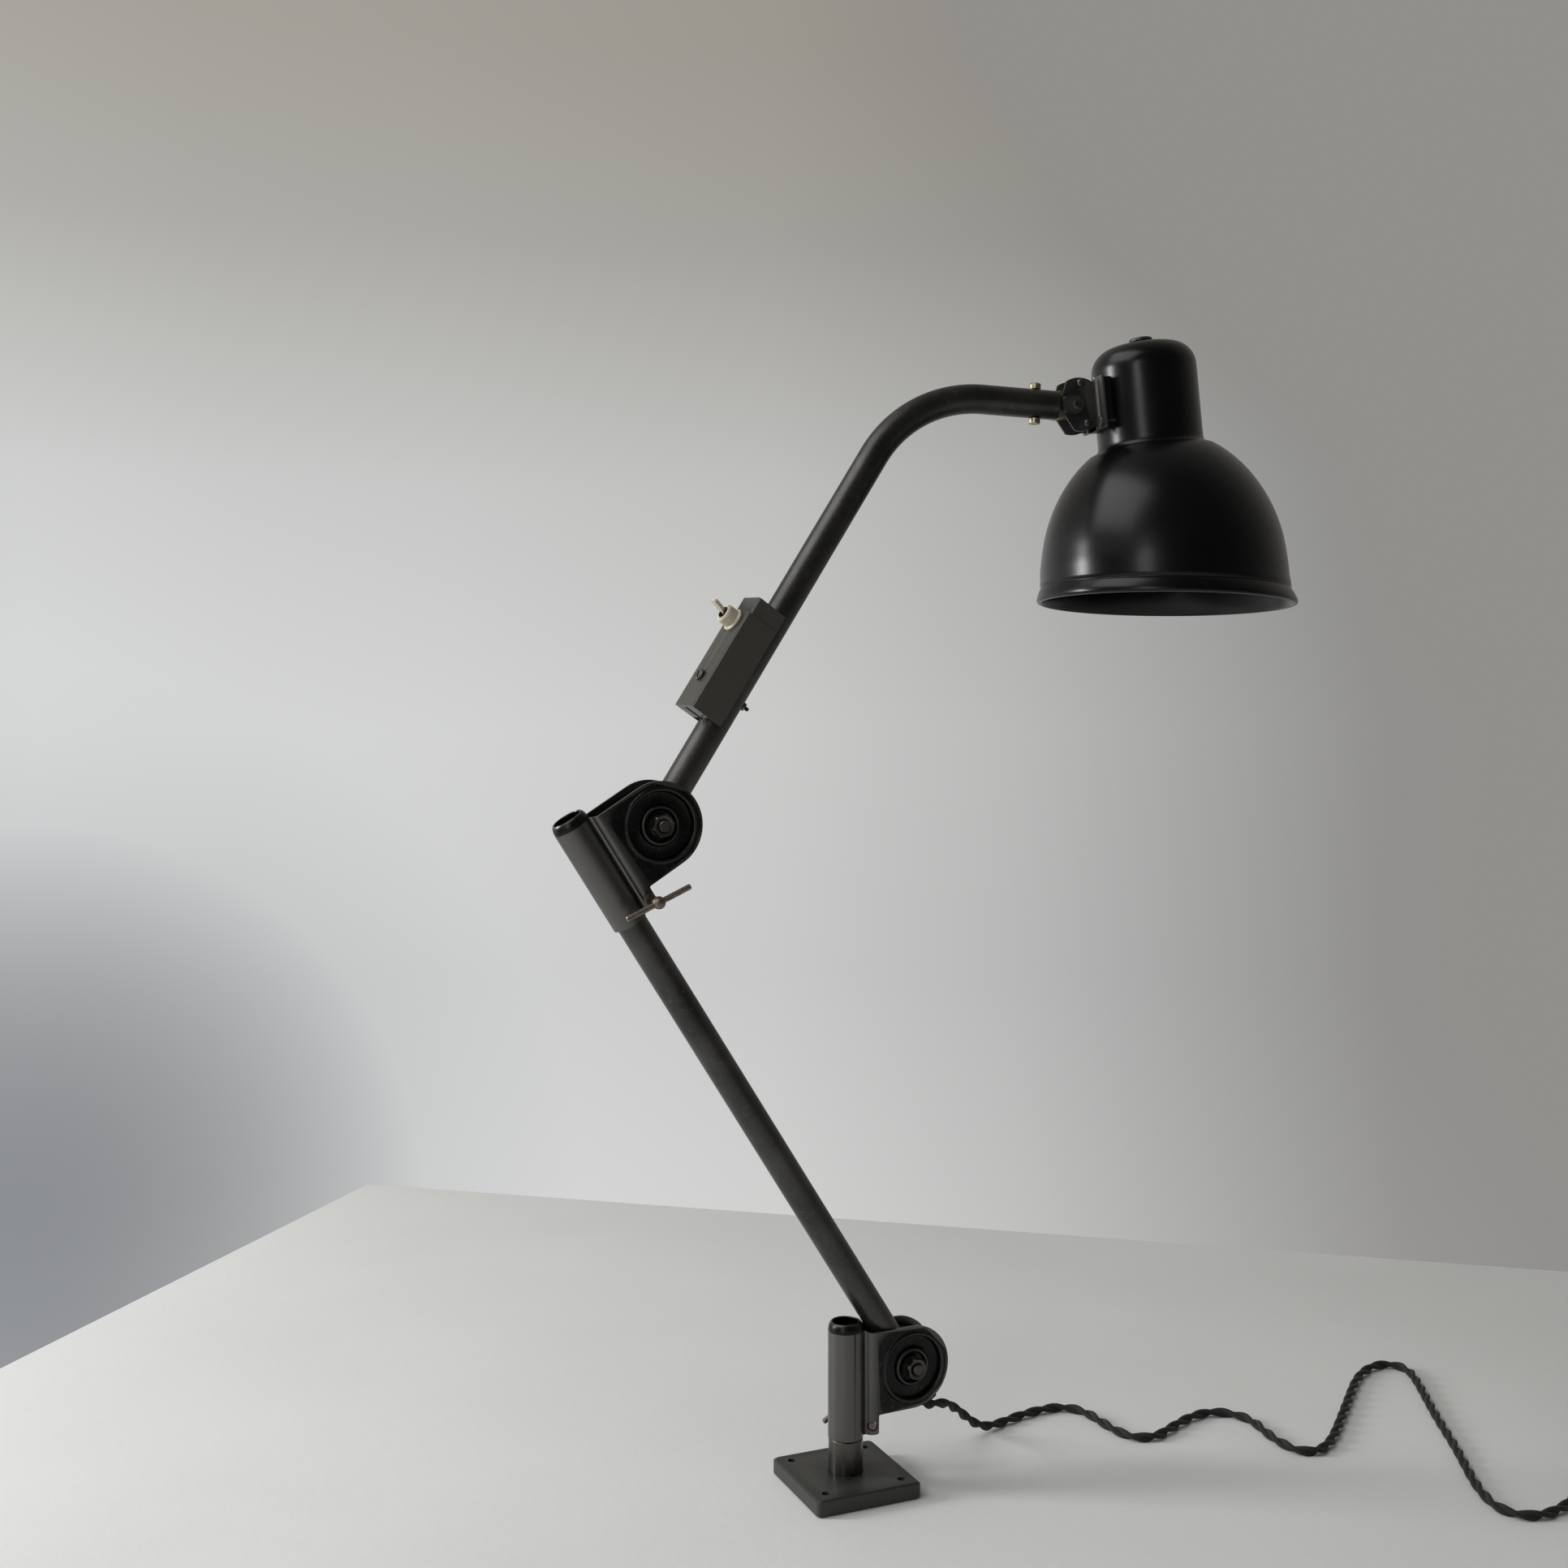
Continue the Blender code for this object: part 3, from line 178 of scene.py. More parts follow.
M = {
    "tube": metal("tube_burnished_steel", (0.040, 0.040, 0.039), (0.085, 0.083, 0.078), rough=(0.30, 0.44), scratch_wear_and_highlight_tone=(0.16, 0.15, 0.135), scale=26, scratch=0.4,
                  edge_wear_and_highlight_amount=0.2, metallic=0.85),
    # On the brackets the strong edge lightening paints the highlights on the dish rings, on top of edge wear.
    "bracket": metal("bracket_pressed_steel", (0.010, 0.010, 0.0105), (0.026, 0.0255, 0.0245), rough=(0.26, 0.42), scratch_wear_and_highlight_tone=(0.20, 0.195, 0.185), scale=45, scratch=0.22,
                     edge_wear_and_highlight_amount=0.75, metallic=0.9),
    "post": metal("post_turned_steel", (0.017, 0.017, 0.0165), (0.040, 0.039, 0.036), rough=(0.26, 0.42), scratch_wear_and_highlight_tone=(0.22, 0.21, 0.19), scale=45, scratch=0.5, stretch=(1, 1, 6)),
    "plate": metal("base_plate_paint", (0.004, 0.0043, 0.0041), (0.009, 0.0098, 0.0092), rough=(0.34, 0.55), scratch_wear_and_highlight_tone=(0.10, 0.10, 0.09), rust=(0.11, 0.045, 0.018),
                   scale=55, metallic=0.35, rust_cover=(0.66, 0.74), edge_wear_and_highlight_amount=0.5),
    "fastener": metal("fastener_dark_steel", (0.020, 0.020, 0.020), (0.050, 0.048, 0.045), rough=(0.34, 0.5), scratch_wear_and_highlight_tone=(0.14, 0.135, 0.12), scale=120, edge_wear_and_highlight_amount=0.8,
                      metallic=0.9),
    "clamp": metal("clamp_brown_steel", (0.075, 0.058, 0.043), (0.17, 0.14, 0.11), rough=(0.32, 0.55), scratch_wear_and_highlight_tone=(0.36, 0.32, 0.27), rust=(0.14, 0.06, 0.025), scale=110,
                   rust_cover=(0.54, 0.70)),
    "hub": metal("hub_cast_iron", (0.020, 0.020, 0.020), (0.045, 0.043, 0.040), rough=(0.45, 0.65), scratch_wear_and_highlight_tone=(0.12, 0.11, 0.10), scale=90, metallic=0.7),
    "box": metal("switch_box_black", (0.011, 0.011, 0.0115), (0.024, 0.024, 0.024), rough=(0.26, 0.42), scratch_wear_and_highlight_tone=(0.15, 0.145, 0.13), scale=70, metallic=0.6, edge_wear_and_highlight_amount=0.8,
                 scratch=0.35),
    "brass": metal("screw_dull_brass", (0.17, 0.14, 0.085), (0.36, 0.31, 0.20), rough=(0.28, 0.45), scratch_wear_and_highlight_tone=(0.62, 0.56, 0.42), scale=160),
    "tongue": metal("tongue_olive_brass", (0.16, 0.15, 0.085), (0.27, 0.25, 0.15), rough=(0.42, 0.6), scratch_wear_and_highlight_tone=(0.38, 0.35, 0.22), scale=120),
    "knuckle": metal("knuckle_black_steel", (0.016, 0.016, 0.017), (0.040, 0.040, 0.042), rough=(0.32, 0.46), scratch_wear_and_highlight_tone=(0.14, 0.135, 0.13), scale=90, metallic=0.5, edge_wear_and_highlight_amount=0.7),
    "cap_metal": metal("bulb_cap_aluminium", (0.42, 0.40, 0.36), (0.58, 0.56, 0.51), rough=(0.25, 0.4), scratch_wear_and_highlight_tone=(0.7, 0.68, 0.62), scale=90),
    "pin": metal("plug_pin_brass", (0.42, 0.32, 0.15), (0.66, 0.53, 0.28), rough=(0.2, 0.36), scratch_wear_and_highlight_tone=(0.8, 0.7, 0.45), scale=120),
    "shade": moulding("shade_black_phenolic", (0.0012, 0.0013, 0.0020), (0.0026, 0.0028, 0.0036), rough=(0.25, 0.31), scale=16, coat=0.0),
    "black": moulding("black_moulding", (0.004, 0.004, 0.004), (0.009, 0.009, 0.0085), rough=(0.38, 0.5), scale=50, coat=0.0),
    "cream": moulding("cream_switch_moulding", (0.50, 0.46, 0.34), (0.66, 0.62, 0.49), rough=(0.34, 0.5), scale=180, coat=0.1, dust=(0.25, 0.21, 0.13)),
    "fibre": moulding("friction_fibre", (0.12, 0.045, 0.02), (0.20, 0.08, 0.04), rough=(0.7, 0.85), scale=200, coat=0.0),
    "rubber": moulding("bush_rubber", (0.008, 0.008, 0.008), (0.016, 0.016, 0.016), rough=(0.6, 0.8), scale=120, coat=0.0),
}


def opal_glass():
    m, nt, b = new_material("bulb_frosted_glass")
    cloud = noise(nt, 25, 3)
    nt.links.new(ramp(nt, cloud, [(0.3, (0.80, 0.79, 0.75)), (0.7, (0.86, 0.85, 0.82))]), b.inputs["Base Color"])
    nt.links.new(grey_ramp(nt, cloud, 0.3, 0.22, 0.7, 0.32), b.inputs["Roughness"])
    b.inputs["Transmission Weight"].default_value = 0.25
    b.inputs["Subsurface Weight"].default_value = 0.15
    b.inputs["Subsurface Radius"].default_value = (0.01, 0.01, 0.01)
    b.inputs["IOR"].default_value = 1.5
    return m


def braid():
    """Black textile braid: fine criss-cross from two waves along and round the strand."""
    m, nt, b = new_material("cord_black_braid")
    uv = nt.nodes.new("ShaderNodeUVMap")
    sep = nt.nodes.new("ShaderNodeSeparateXYZ")
    nt.links.new(uv.outputs["UV"], sep.inputs[0])

    def wave(sign):
        a = nt.nodes.new("ShaderNodeMath"); a.operation = "MULTIPLY"; a.inputs[1].default_value = 12.0 * 2 * math.pi
        nt.links.new(sep.outputs["X"], a.inputs[0])
        c = nt.nodes.new("ShaderNodeMath"); c.operation = "MULTIPLY"; c.inputs[1].default_value = sign * 2 * math.pi
        nt.links.new(sep.outputs["Y"], c.inputs[0])
        s = nt.nodes.new("ShaderNodeMath"); s.operation = "ADD"
        nt.links.new(a.outputs[0], s.inputs[0]); nt.links.new(c.outputs[0], s.inputs[1])
        w = nt.nodes.new("ShaderNodeMath"); w.operation = "SINE"
        nt.links.new(s.outputs[0], w.inputs[0])
        return w.outputs[0]
    mx = nt.nodes.new("ShaderNodeMath"); mx.operation = "MAXIMUM"
    nt.links.new(wave(1.0), mx.inputs[0]); nt.links.new(wave(-1.0), mx.inputs[1])
    col = ramp(nt, mx.outputs[0], [(0.0, (0.002, 0.002, 0.0022)), (0.9, (0.008, 0.008, 0.0085))])
    nt.links.new(col, b.inputs["Base Color"])
    b.inputs["Roughness"].default_value = 0.78
    b.inputs["Sheen Weight"].default_value = 0.08
    b.inputs["Sheen Roughness"].default_value = 0.5
    bump(nt, mx.outputs[0], 0.5, 0.00025, b)
    return m


M["glass"] = opal_glass()
M["cord"] = braid()

LOOK = {
    "base_plate": "plate", "base_post": "post", "bracket": "bracket", "pivot_bolt": "fastener", "pivot_nut": "fastener", "spring_washer": "fastener",
    "friction_disc_front": "fibre", "friction_disc_rear": "fibre", "clamp_nut": "fastener", "clamp_screw": "clamp", "clamp_bar": "clamp",
    "hub": "hub", "tube": "tube", "tube_cap": "post", "cord_bush": "rubber", "switch_saddle": "box", "switch_cover": "box", "switch_body": "black",
    "switch_nut": "cream", "switch_lever": "cream", "switch_box_screw": "fastener", "switch_box_nut": "fastener", "knuckle_stem": "tongue",
    "stem_screw_top": "brass", "stem_screw_bottom": "brass", "knuckle_plate_front": "knuckle", "knuckle_plate_rear": "knuckle",
    "knuckle_pin": "fastener", "knuckle_rivet_top": "fastener", "knuckle_rivet_bottom": "fastener", "neck_saddle": "black",
    "saddle_screw_front": "knuckle", "saddle_screw_rear": "knuckle", "shade": "shade", "shade_cap": "knuckle", "lampholder": "black",
    "bulb_cap": "cap_metal", "bulb_glass": "glass", "plug_body": "black", "plug_pin_a": "pin", "plug_pin_b": "pin",
    "cord": "cord", "cord_coil": "cord", "cord_tail": "cord"}


def look_of(node):
    for pre in ("lower_", "upper_"):
        if node.startswith(pre):
            return LOOK[node[len(pre):]]
    return LOOK[node]


for name, ob in NODES.items():
    mat = M[look_of(name)]
    if not ob.material_slots:
        ob.data.materials.append(mat)
    for s in ob.material_slots:
        s.material = mat


# ---------------------------------------------------------------- frames of the lamp, as in the model
def shift(x, y, z):
    return Matrix.Translation((x * MM, y * MM, z * MM))


def turn(deg, axis):
    return Matrix.Rotation(math.radians(deg), 4, axis)


# ---------------------------------------------------------------- cord
CORD_R = 3.5
Z0 = CORD_R + 0.05
EXIT, MOUTH, AHEAD = (60.78, 3.89, 59.96), (64.78, 4.15, 53.04), (68.77, 4.40, 46.11)
TOUCH = [(82, 9, 43.4), (95, 18, 36.4), (108, 26.5, 26.6), (121, 33, 15.4), (135, 38.5, 6.6)]
FLOOR_ROUTE = [(152, 44), (180, 52), (211, 54), (227, 38), (228, 6), (233, -17), (250, -24), (272, -15), (300, -4), (324, -5), (337, -26),
               (331, -58), (331, -84), (344, -94), (366, -84), (396, -60), (436, -26), (476, 7), (506, 22), (524, 19), (527, 3), (512, -24),
               (477, -77), (443, -132), (411, -180), (396, -211), (398, -229), (414, -237.5), (441, -233), (467, -221.5), (490.1, -210.6)]
COIL_C = Vector((510.9, -255.2, 0.0))


def smooth_route(knots, spacing, ease):
    dense = []
    pts = [knots[0] * 2 - knots[1]] + knots + [knots[-1] * 2 - knots[-2]]
    for i in range(1, len(pts) - 2):
        p0, p1, p2, p3 = pts[i - 1:i + 3]
        for k in range(24):
            t = k / 24
            dense.append(0.5 * ((2 * p1) + (p2 - p0) * t + (2 * p0 - 5 * p1 + 4 * p2 - p3) * t * t + (3 * p1 - p0 - 3 * p2 + p3) * t ** 3))
    dense.append(knots[-1])
    for _ in range(ease):
        q = list(dense)
        for i in range(30, len(dense) - 30):
            q[i] = dense[i] * 0.5 + (dense[i - 1] + dense[i + 1]) * 0.25
        dense = q
    return resample(dense, spacing)


def resample(dense, spacing):
    total = sum((b - a).length for a, b in zip(dense, dense[1:]))
    n = max(2, int(total / spacing))
    out, run, want = [dense[0]], 0.0, total / n
    for a, b in zip(dense, dense[1:]):
        s = (b - a).length
        while run + s >= want * len(out) and len(out) < n:
            out.append(a.lerp(b, (want * len(out) - run) / s))
        run += s
    out.append(dense[-1])
    return out


run1 = smooth_route([Vector(EXIT), Vector(MOUTH), Vector(AHEAD)] + [Vector(p) for p in TOUCH] + [Vector((x, y, Z0)) for x, y in FLOOR_ROUTE], 2.0, 60)
run1 = [Vector((p.x, p.y, max(p.z, Z0))) for p in run1]


def coil():
    """Clockwise turns: in on the bottom layer from outside, up, and out on the top layer."""
    pts = []
    start, radii = 115.0, []
    # (turned degrees, radius, height)
    keys = [(0, 49.2, Z0), (80, 41.7, Z0), (360, 41.7, Z0), (450, 34.6, Z0), (650, 34.6, Z0), (740, 34.6, Z0 + 7.0), (1020, 34.6, Z0 + 7.0),
            (1110, 41.7, Z0 + 7.0), (1390, 41.7, Z0 + 7.1), (1479, 49.2, 10.8)]
    a = 0.0
    while a <= keys[-1][0]:
        for (a0, r0, z0), (a1, r1, z1) in zip(keys, keys[1:]):
            if a0 <= a <= a1:
                t = (a - a0) / (a1 - a0)
                t = t * t * (3 - 2 * t)
                r, z = r0 + (r1 - r0) * t, z0 + (z1 - z0) * t
                break
        phi = math.radians(start - a)
        pts.append(Vector((COIL_C.x + r * math.cos(phi), COIL_C.y + r * math.sin(phi), z)))
        a += 3.0
    return pts


turns = coil()
tail = [Vector(p) for p in ((532.5, -209.9, 12.0), (542.5, -212.4, 15.6), (551.0, -214.5, 17.2), (555.7, -215.65, 17.3))]
tail_run = smooth_route([turns[-1]] + tail, 2.0, 4)
line = resample(run1 + turns[1:] + tail_run[1:], 1.9)


def twisted_pair(name, line, lay=36.0, strand=1.90, offset=1.65, sides=12):
    """Two braided strands laid round one centreline."""
    bm = bmesh.new()
    uv = bm.loops.layers.uv.new("UVMap")
    # rotation-minimising frames
    n_prev = Vector((0, 0, 1))
    frames, dist = [], 0.0
    for i, p in enumerate(line):
        t = (line[min(i + 1, len(line) - 1)] - line[max(i - 1, 0)]).normalized()
        n = (n_prev - t * n_prev.dot(t)).normalized()
        frames.append((p, t, n, t.cross(n), dist))
        n_prev = n
        if i + 1 < len(line):
            dist += (line[i + 1] - p).length
    for s in range(2):
        rings = []
        for p, t, n, bn, d in frames:
            a = 2 * math.pi * d / lay + math.pi * s
            out = n * math.cos(a) + bn * math.sin(a)
            c = p + out * offset
            # the strand leans along its helix
            lean = (t + (bn * math.cos(a) - n * math.sin(a)) * (2 * math.pi * offset / lay)).normalized()
            u = (out - lean * out.dot(lean)).normalized()
            v = lean.cross(u)
            rings.append(([bm.verts.new((c + u * strand * math.cos(2 * math.pi * k / sides) + v * strand * math.sin(2 * math.pi * k / sides)) * MM)
                           for k in range(sides)], d))
        for (ra, da), (rb, db) in zip(rings, rings[1:]):
            for k in range(sides):
                j = (k + 1) % sides
                f = bm.faces.new((ra[k], ra[j], rb[j], rb[k]))
                f.smooth = True
                for loop, (uu, vv) in zip(f.loops, ((da, k), (da, k + 1), (db, k + 1), (db, k))):
                    loop[uv].uv = (uu / 24.0, vv * 4.0 / sides)
        bm.faces.new(rings[0][0][::-1])
        bm.faces.new(rings[-1][0])
    me = bpy.data.meshes.new(name)
    bm.to_mesh(me)
    bm.free()
    ob = bpy.data.objects.new(name, me)
    ROOT.objects.link(ob)
    me.materials.append(M["cord"])
    return ob


cord = twisted_pair("cord_braided_pair", line)
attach(cord, "lower_bracket")
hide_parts("cord", "cord_coil", "cord_tail")



# ---------------------------------------------------------------- finer copies of the visible solids
def turned(profile, seg, closed=False, move=None):
    bm = bmesh.new()
    rings = []
    for r, z in profile:
        if r < 1e-6:
            rings.append([bm.verts.new((0.0, 0.0, z))])
            continue
        ring = []
        for k in range(seg):
            a = 2 * math.pi * (k + 0.5) / seg
            q = Vector((r * math.cos(a), r * math.sin(a), z))
            ring.append(bm.verts.new(move(q) if move else q))
        rings.append(ring)
    rings_to_faces(bm, rings, closed)
    return bm


def rings_to_faces(bm, rings, closed):
    pairs = list(zip(rings, rings[1:]))
    if closed:
        pairs.append((rings[-1], rings[0]))
    for a, b in pairs:
        n = max(len(a), len(b))
        if n == 1:
            continue
        for i in range(n):
            j = (i + 1) % n
            if len(a) == 1:
                bm.faces.new((a[0], b[i], b[j]))
            elif len(b) == 1:
                bm.faces.new((a[i], b[0], a[j]))
            else:
                bm.faces.new((a[i], b[i], b[j], a[j]))
    if not closed:
        for end in (rings[0], rings[-1]):
            if len(end) > 2:
                bm.faces.new(end)


def prism(outline, a, b):
    bm = bmesh.new()
    lo = [bm.verts.new((x, y, a)) for x, y in outline]
    hi = [bm.verts.new((x, y, b)) for x, y in outline]
    bm.faces.new(lo)
    bm.faces.new(hi)
    n = len(outline)
    for i in range(n):
        j = (i + 1) % n
        bm.faces.new((lo[i], lo[j], hi[j], hi[i]))
    return bm


def arc(cx, cy, r, a0, a1, n):
    return [(cx + r * math.cos(math.radians(a0 + (a1 - a0) * k / n)),
             cy + r * math.sin(math.radians(a0 + (a1 - a0) * k / n))) for k in range(n + 1)]


ALONG = {"Z": Matrix.Identity(4), "-Z": turn(180, "X"), "X": turn(90, "Y"), "-X": turn(-90, "Y"), "Y": turn(-90, "X"), "-Y": turn(90, "X")}


def piece(name, bm, m, mat, smooth=35.0):
    """A mesh drawn in millimetres, put in the row frame by m."""
    bmesh.ops.recalc_face_normals(bm, faces=bm.faces)
    bm.transform(Matrix.Scale(MM, 4))
    bm.transform(m)
    me = bpy.data.meshes.new(name)
    bm.to_mesh(me)
    bm.free()
    ob = bpy.data.objects.new(name, me)
    ROOT.objects.link(ob)
    if mat:
        me.materials.append(M[mat])
    me.shade_smooth()
    me.set_sharp_from_angle(angle=math.radians(smooth))
    return ob


def carve(ob, steps, bevel=0.0, smooth=35.0):
    """Apply Boolean steps with throwaway tools, then an optional small bevel."""
    for kind, tool in steps:
        mod = ob.modifiers.new("b", "BOOLEAN")
        mod.operation = kind
        mod.solver = "EXACT"
        mod.object = tool
    if bevel:
        mod = ob.modifiers.new("v", "BEVEL")
        mod.width = bevel * MM
        mod.segments = 2
        mod.limit_method = "ANGLE"
        mod.angle_limit = math.radians(40)
        mod.use_clamp_overlap = True
    dg = bpy.context.evaluated_depsgraph_get()
    dg.update()
    me = bpy.data.meshes.new_from_object(ob.evaluated_get(dg))
    old = ob.data
    ob.modifiers.clear()
    ob.data = me
    bpy.data.meshes.remove(old)
    me.shade_smooth()
    me.set_sharp_from_angle(angle=math.radians(smooth))
    for kind, tool in steps:
        me_t = tool.data
        bpy.data.objects.remove(tool, do_unlink=True)
        bpy.data.meshes.remove(me_t)
    return ob


def stands_for(ob, node, body):
    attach(ob, body)
    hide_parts(node)


LOW_BR = turn(3.66, "Z") @ shift(0, 0, 81.2)
LOW_ARM = LOW_BR @ shift(48.66, 0, 0) @ turn(-32.80, "Y")
UP_BR = LOW_ARM @ shift(0, 0, 438.0) @ turn(-2.43, "Z")
UP_ARM = UP_BR @ shift(48.66, 0, 0) @ turn(65.06, "Y")
HEAD = turn(-8.10, "Z") @ turn(-6.21, "Y")
SHADE_M = Matrix.Translation((0.24337, -0.04136, 0.63386)) @ HEAD

# ---- shade
SKEW = math.tan(math.radians(7.54))


def dome_r(t):
    return 89.8 * math.sqrt(max(0.0, 1 - ((t - 19) / 109.8) ** 2)) if t >= 19 else 89.8 + (19 - t) * 0.05


def skewed(q):
    w = max(0.0, min(1.0, (46.0 - q.z) / 36.0))
    w = w * w * (3 - 2 * w)
    return Vector((q.x, q.y, q.z - w * q.x * SKEW))


outer_p = [(91.4, 0.2), (92.6, 0.25), (93.5, 0.7), (93.95, 1.6), (93.9, 2.8), (93.3, 4.8), (92.2, 7.6), (91.1, 9.6), (90.55, 10.5), (90.0, 10.9), (89.8, 11.4),
           (90.0, 11.9), (90.4, 12.4), (90.3, 16.0)]
t = 19.0
while t < 114:
    outer_p.append((dome_r(t), t))
    t += 3.6 if t < 80 else (2.4 if t < 100 else 1.5)
outer_p += [(40.6, 115.6), (39.4, 116.6), (38.7, 117.8), (38.3, 119.4), (38.2, 121.5), (38.2, 135), (38.2, 150), (38.2, 162), (38.2, 173.0)]
outer_p += [(20 + 18.2 * math.cos(math.radians(a)), 173.0 + 18.4 * math.sin(math.radians(a))) for a in range(6, 90, 6)]
outer_p += [(20.0, 191.5), (15.0, 192.6), (11.0, 193.4), (8.8, 193.9), (5.3, 194.4)]
inner_p = [(5.3, 190.6), (18.0, 188.3), (26.5, 184.2), (32.6, 177.0), (34.7, 169.0), (34.7, 117.0), (35.3, 114.5), (37.0, 112.0)]
t = 108.0
while t > 12:
    inner_p.append((dome_r(t + 3.0) - 2.9, t))
    t -= 3.5
inner_p += [(88.0, 6.0), (89.4, 2.8), (90.3, 1.0), (90.9, 0.35)]
shade = piece("shade_moulding", turned(outer_p + inner_p, 180, True, skewed), SHADE_M, "shade", smooth=50)
stands_for(shade, "shade", "shade")
cap = piece("shade_cap_nut", turned([(0, 197.4), (5.0, 197.35), (7.2, 197.1), (8.2, 196.6), (8.5, 196.0), (8.5, 194.9), (4.8, 194.9), (4.8, 178.3), (0, 178.3)], 64),
            SHADE_M, "knuckle")
stands_for(cap, "shade_cap", "shade")

# ---- tubes
seg = 64
low_tube = piece("lower_tube_drawn", turned([(8.9, 26.5), (10.2, 26.5), (10.42, 26.8), (10.42, 120), (10.42, 240), (10.42, 360), (10.42, 466.0), (9.9, 466.6), (8.9, 466.6)],
                                            seg, True), LOW_ARM, "tube")
stands_for(low_tube, "lower_tube", "lower_arm")


def sweep(stations, r_out, r_in, seg):
    bm = bmesh.new()
    outer, bore = [], []
    for n, (p, d) in enumerate(stations):
        up = d.cross(across).normalized()
        last = n == len(stations) - 1
        for rings, r in ((outer, r_out - (0.8 if last else 0.0)), (bore, r_in)):
            rings.append([bm.verts.new(p + across * r * math.cos(2 * math.pi * k / seg) + up * r * math.sin(2 * math.pi * k / seg)) for k in range(seg)])
    rings_to_faces(bm, outer + bore[::-1], True)
    return bm


side = Vector((math.cos(math.radians(-11.36)), math.sin(math.radians(-11.36)), 0))
across = side.cross(Vector((0, 0, 1))).normalized()
centre = Vector((0, 0, 304.2)) + side * 96.1
stations = [(Vector((0, 0, 26.5)), Vector((0, 0, 1))), (Vector((0, 0, 150)), Vector((0, 0, 1))), (Vector((0, 0, 304.2)), Vector((0, 0, 1)))]
for k in range(1, 31):
    a = math.radians(59.23 * k / 30)
    stations.append((centre - side * 96.1 * math.cos(a) + Vector((0, 0, 96.1 * math.sin(a))), Vector((0, 0, math.cos(a))) + side * math.sin(a)))
p_end, d_end = stations[-1]
for step in (28.0, 55.6, 56.4, 56.9):
    stations.append((p_end + d_end * step, d_end))
up_tube = piece("upper_tube_drawn", sweep(stations, 10.42, 8.9, seg), UP_ARM, "tube")
end_p, end_d = stations[-1]
side_v = UP_ARM.to_3x3().inverted() @ turn(-8.10, "Z").to_3x3() @ Vector((0, 1, 0))
side_v = (side_v - end_d * side_v.dot(end_d)).normalized()
down = side_v.cross(end_d)
END_M = UP_ARM @ Matrix(((down.x, side_v.x, end_d.x, end_p.x * MM), (down.y, side_v.y, end_d.y, end_p.y * MM),
                         (down.z, side_v.z, end_d.z, end_p.z * MM), (0, 0, 0, 1)))
SW_M = UP_ARM @ turn(5.0, "Z")
tools = [("DIFFERENCE", piece("t1", turned([(1.7, -30), (1.7, 30)], 24), SW_M @ shift(0, 0, 101.5) @ ALONG["X"], None))]
for d in ("-X", "X"):
    tools.append(("DIFFERENCE", piece("t2", turned([(2.25, 3.1), (2.25, 13.5)], 24), END_M @ shift(0, 0, -16.2) @ ALONG[d], None)))
carve(up_tube, tools)
stands_for(up_tube, "upper_tube", "upper_arm")


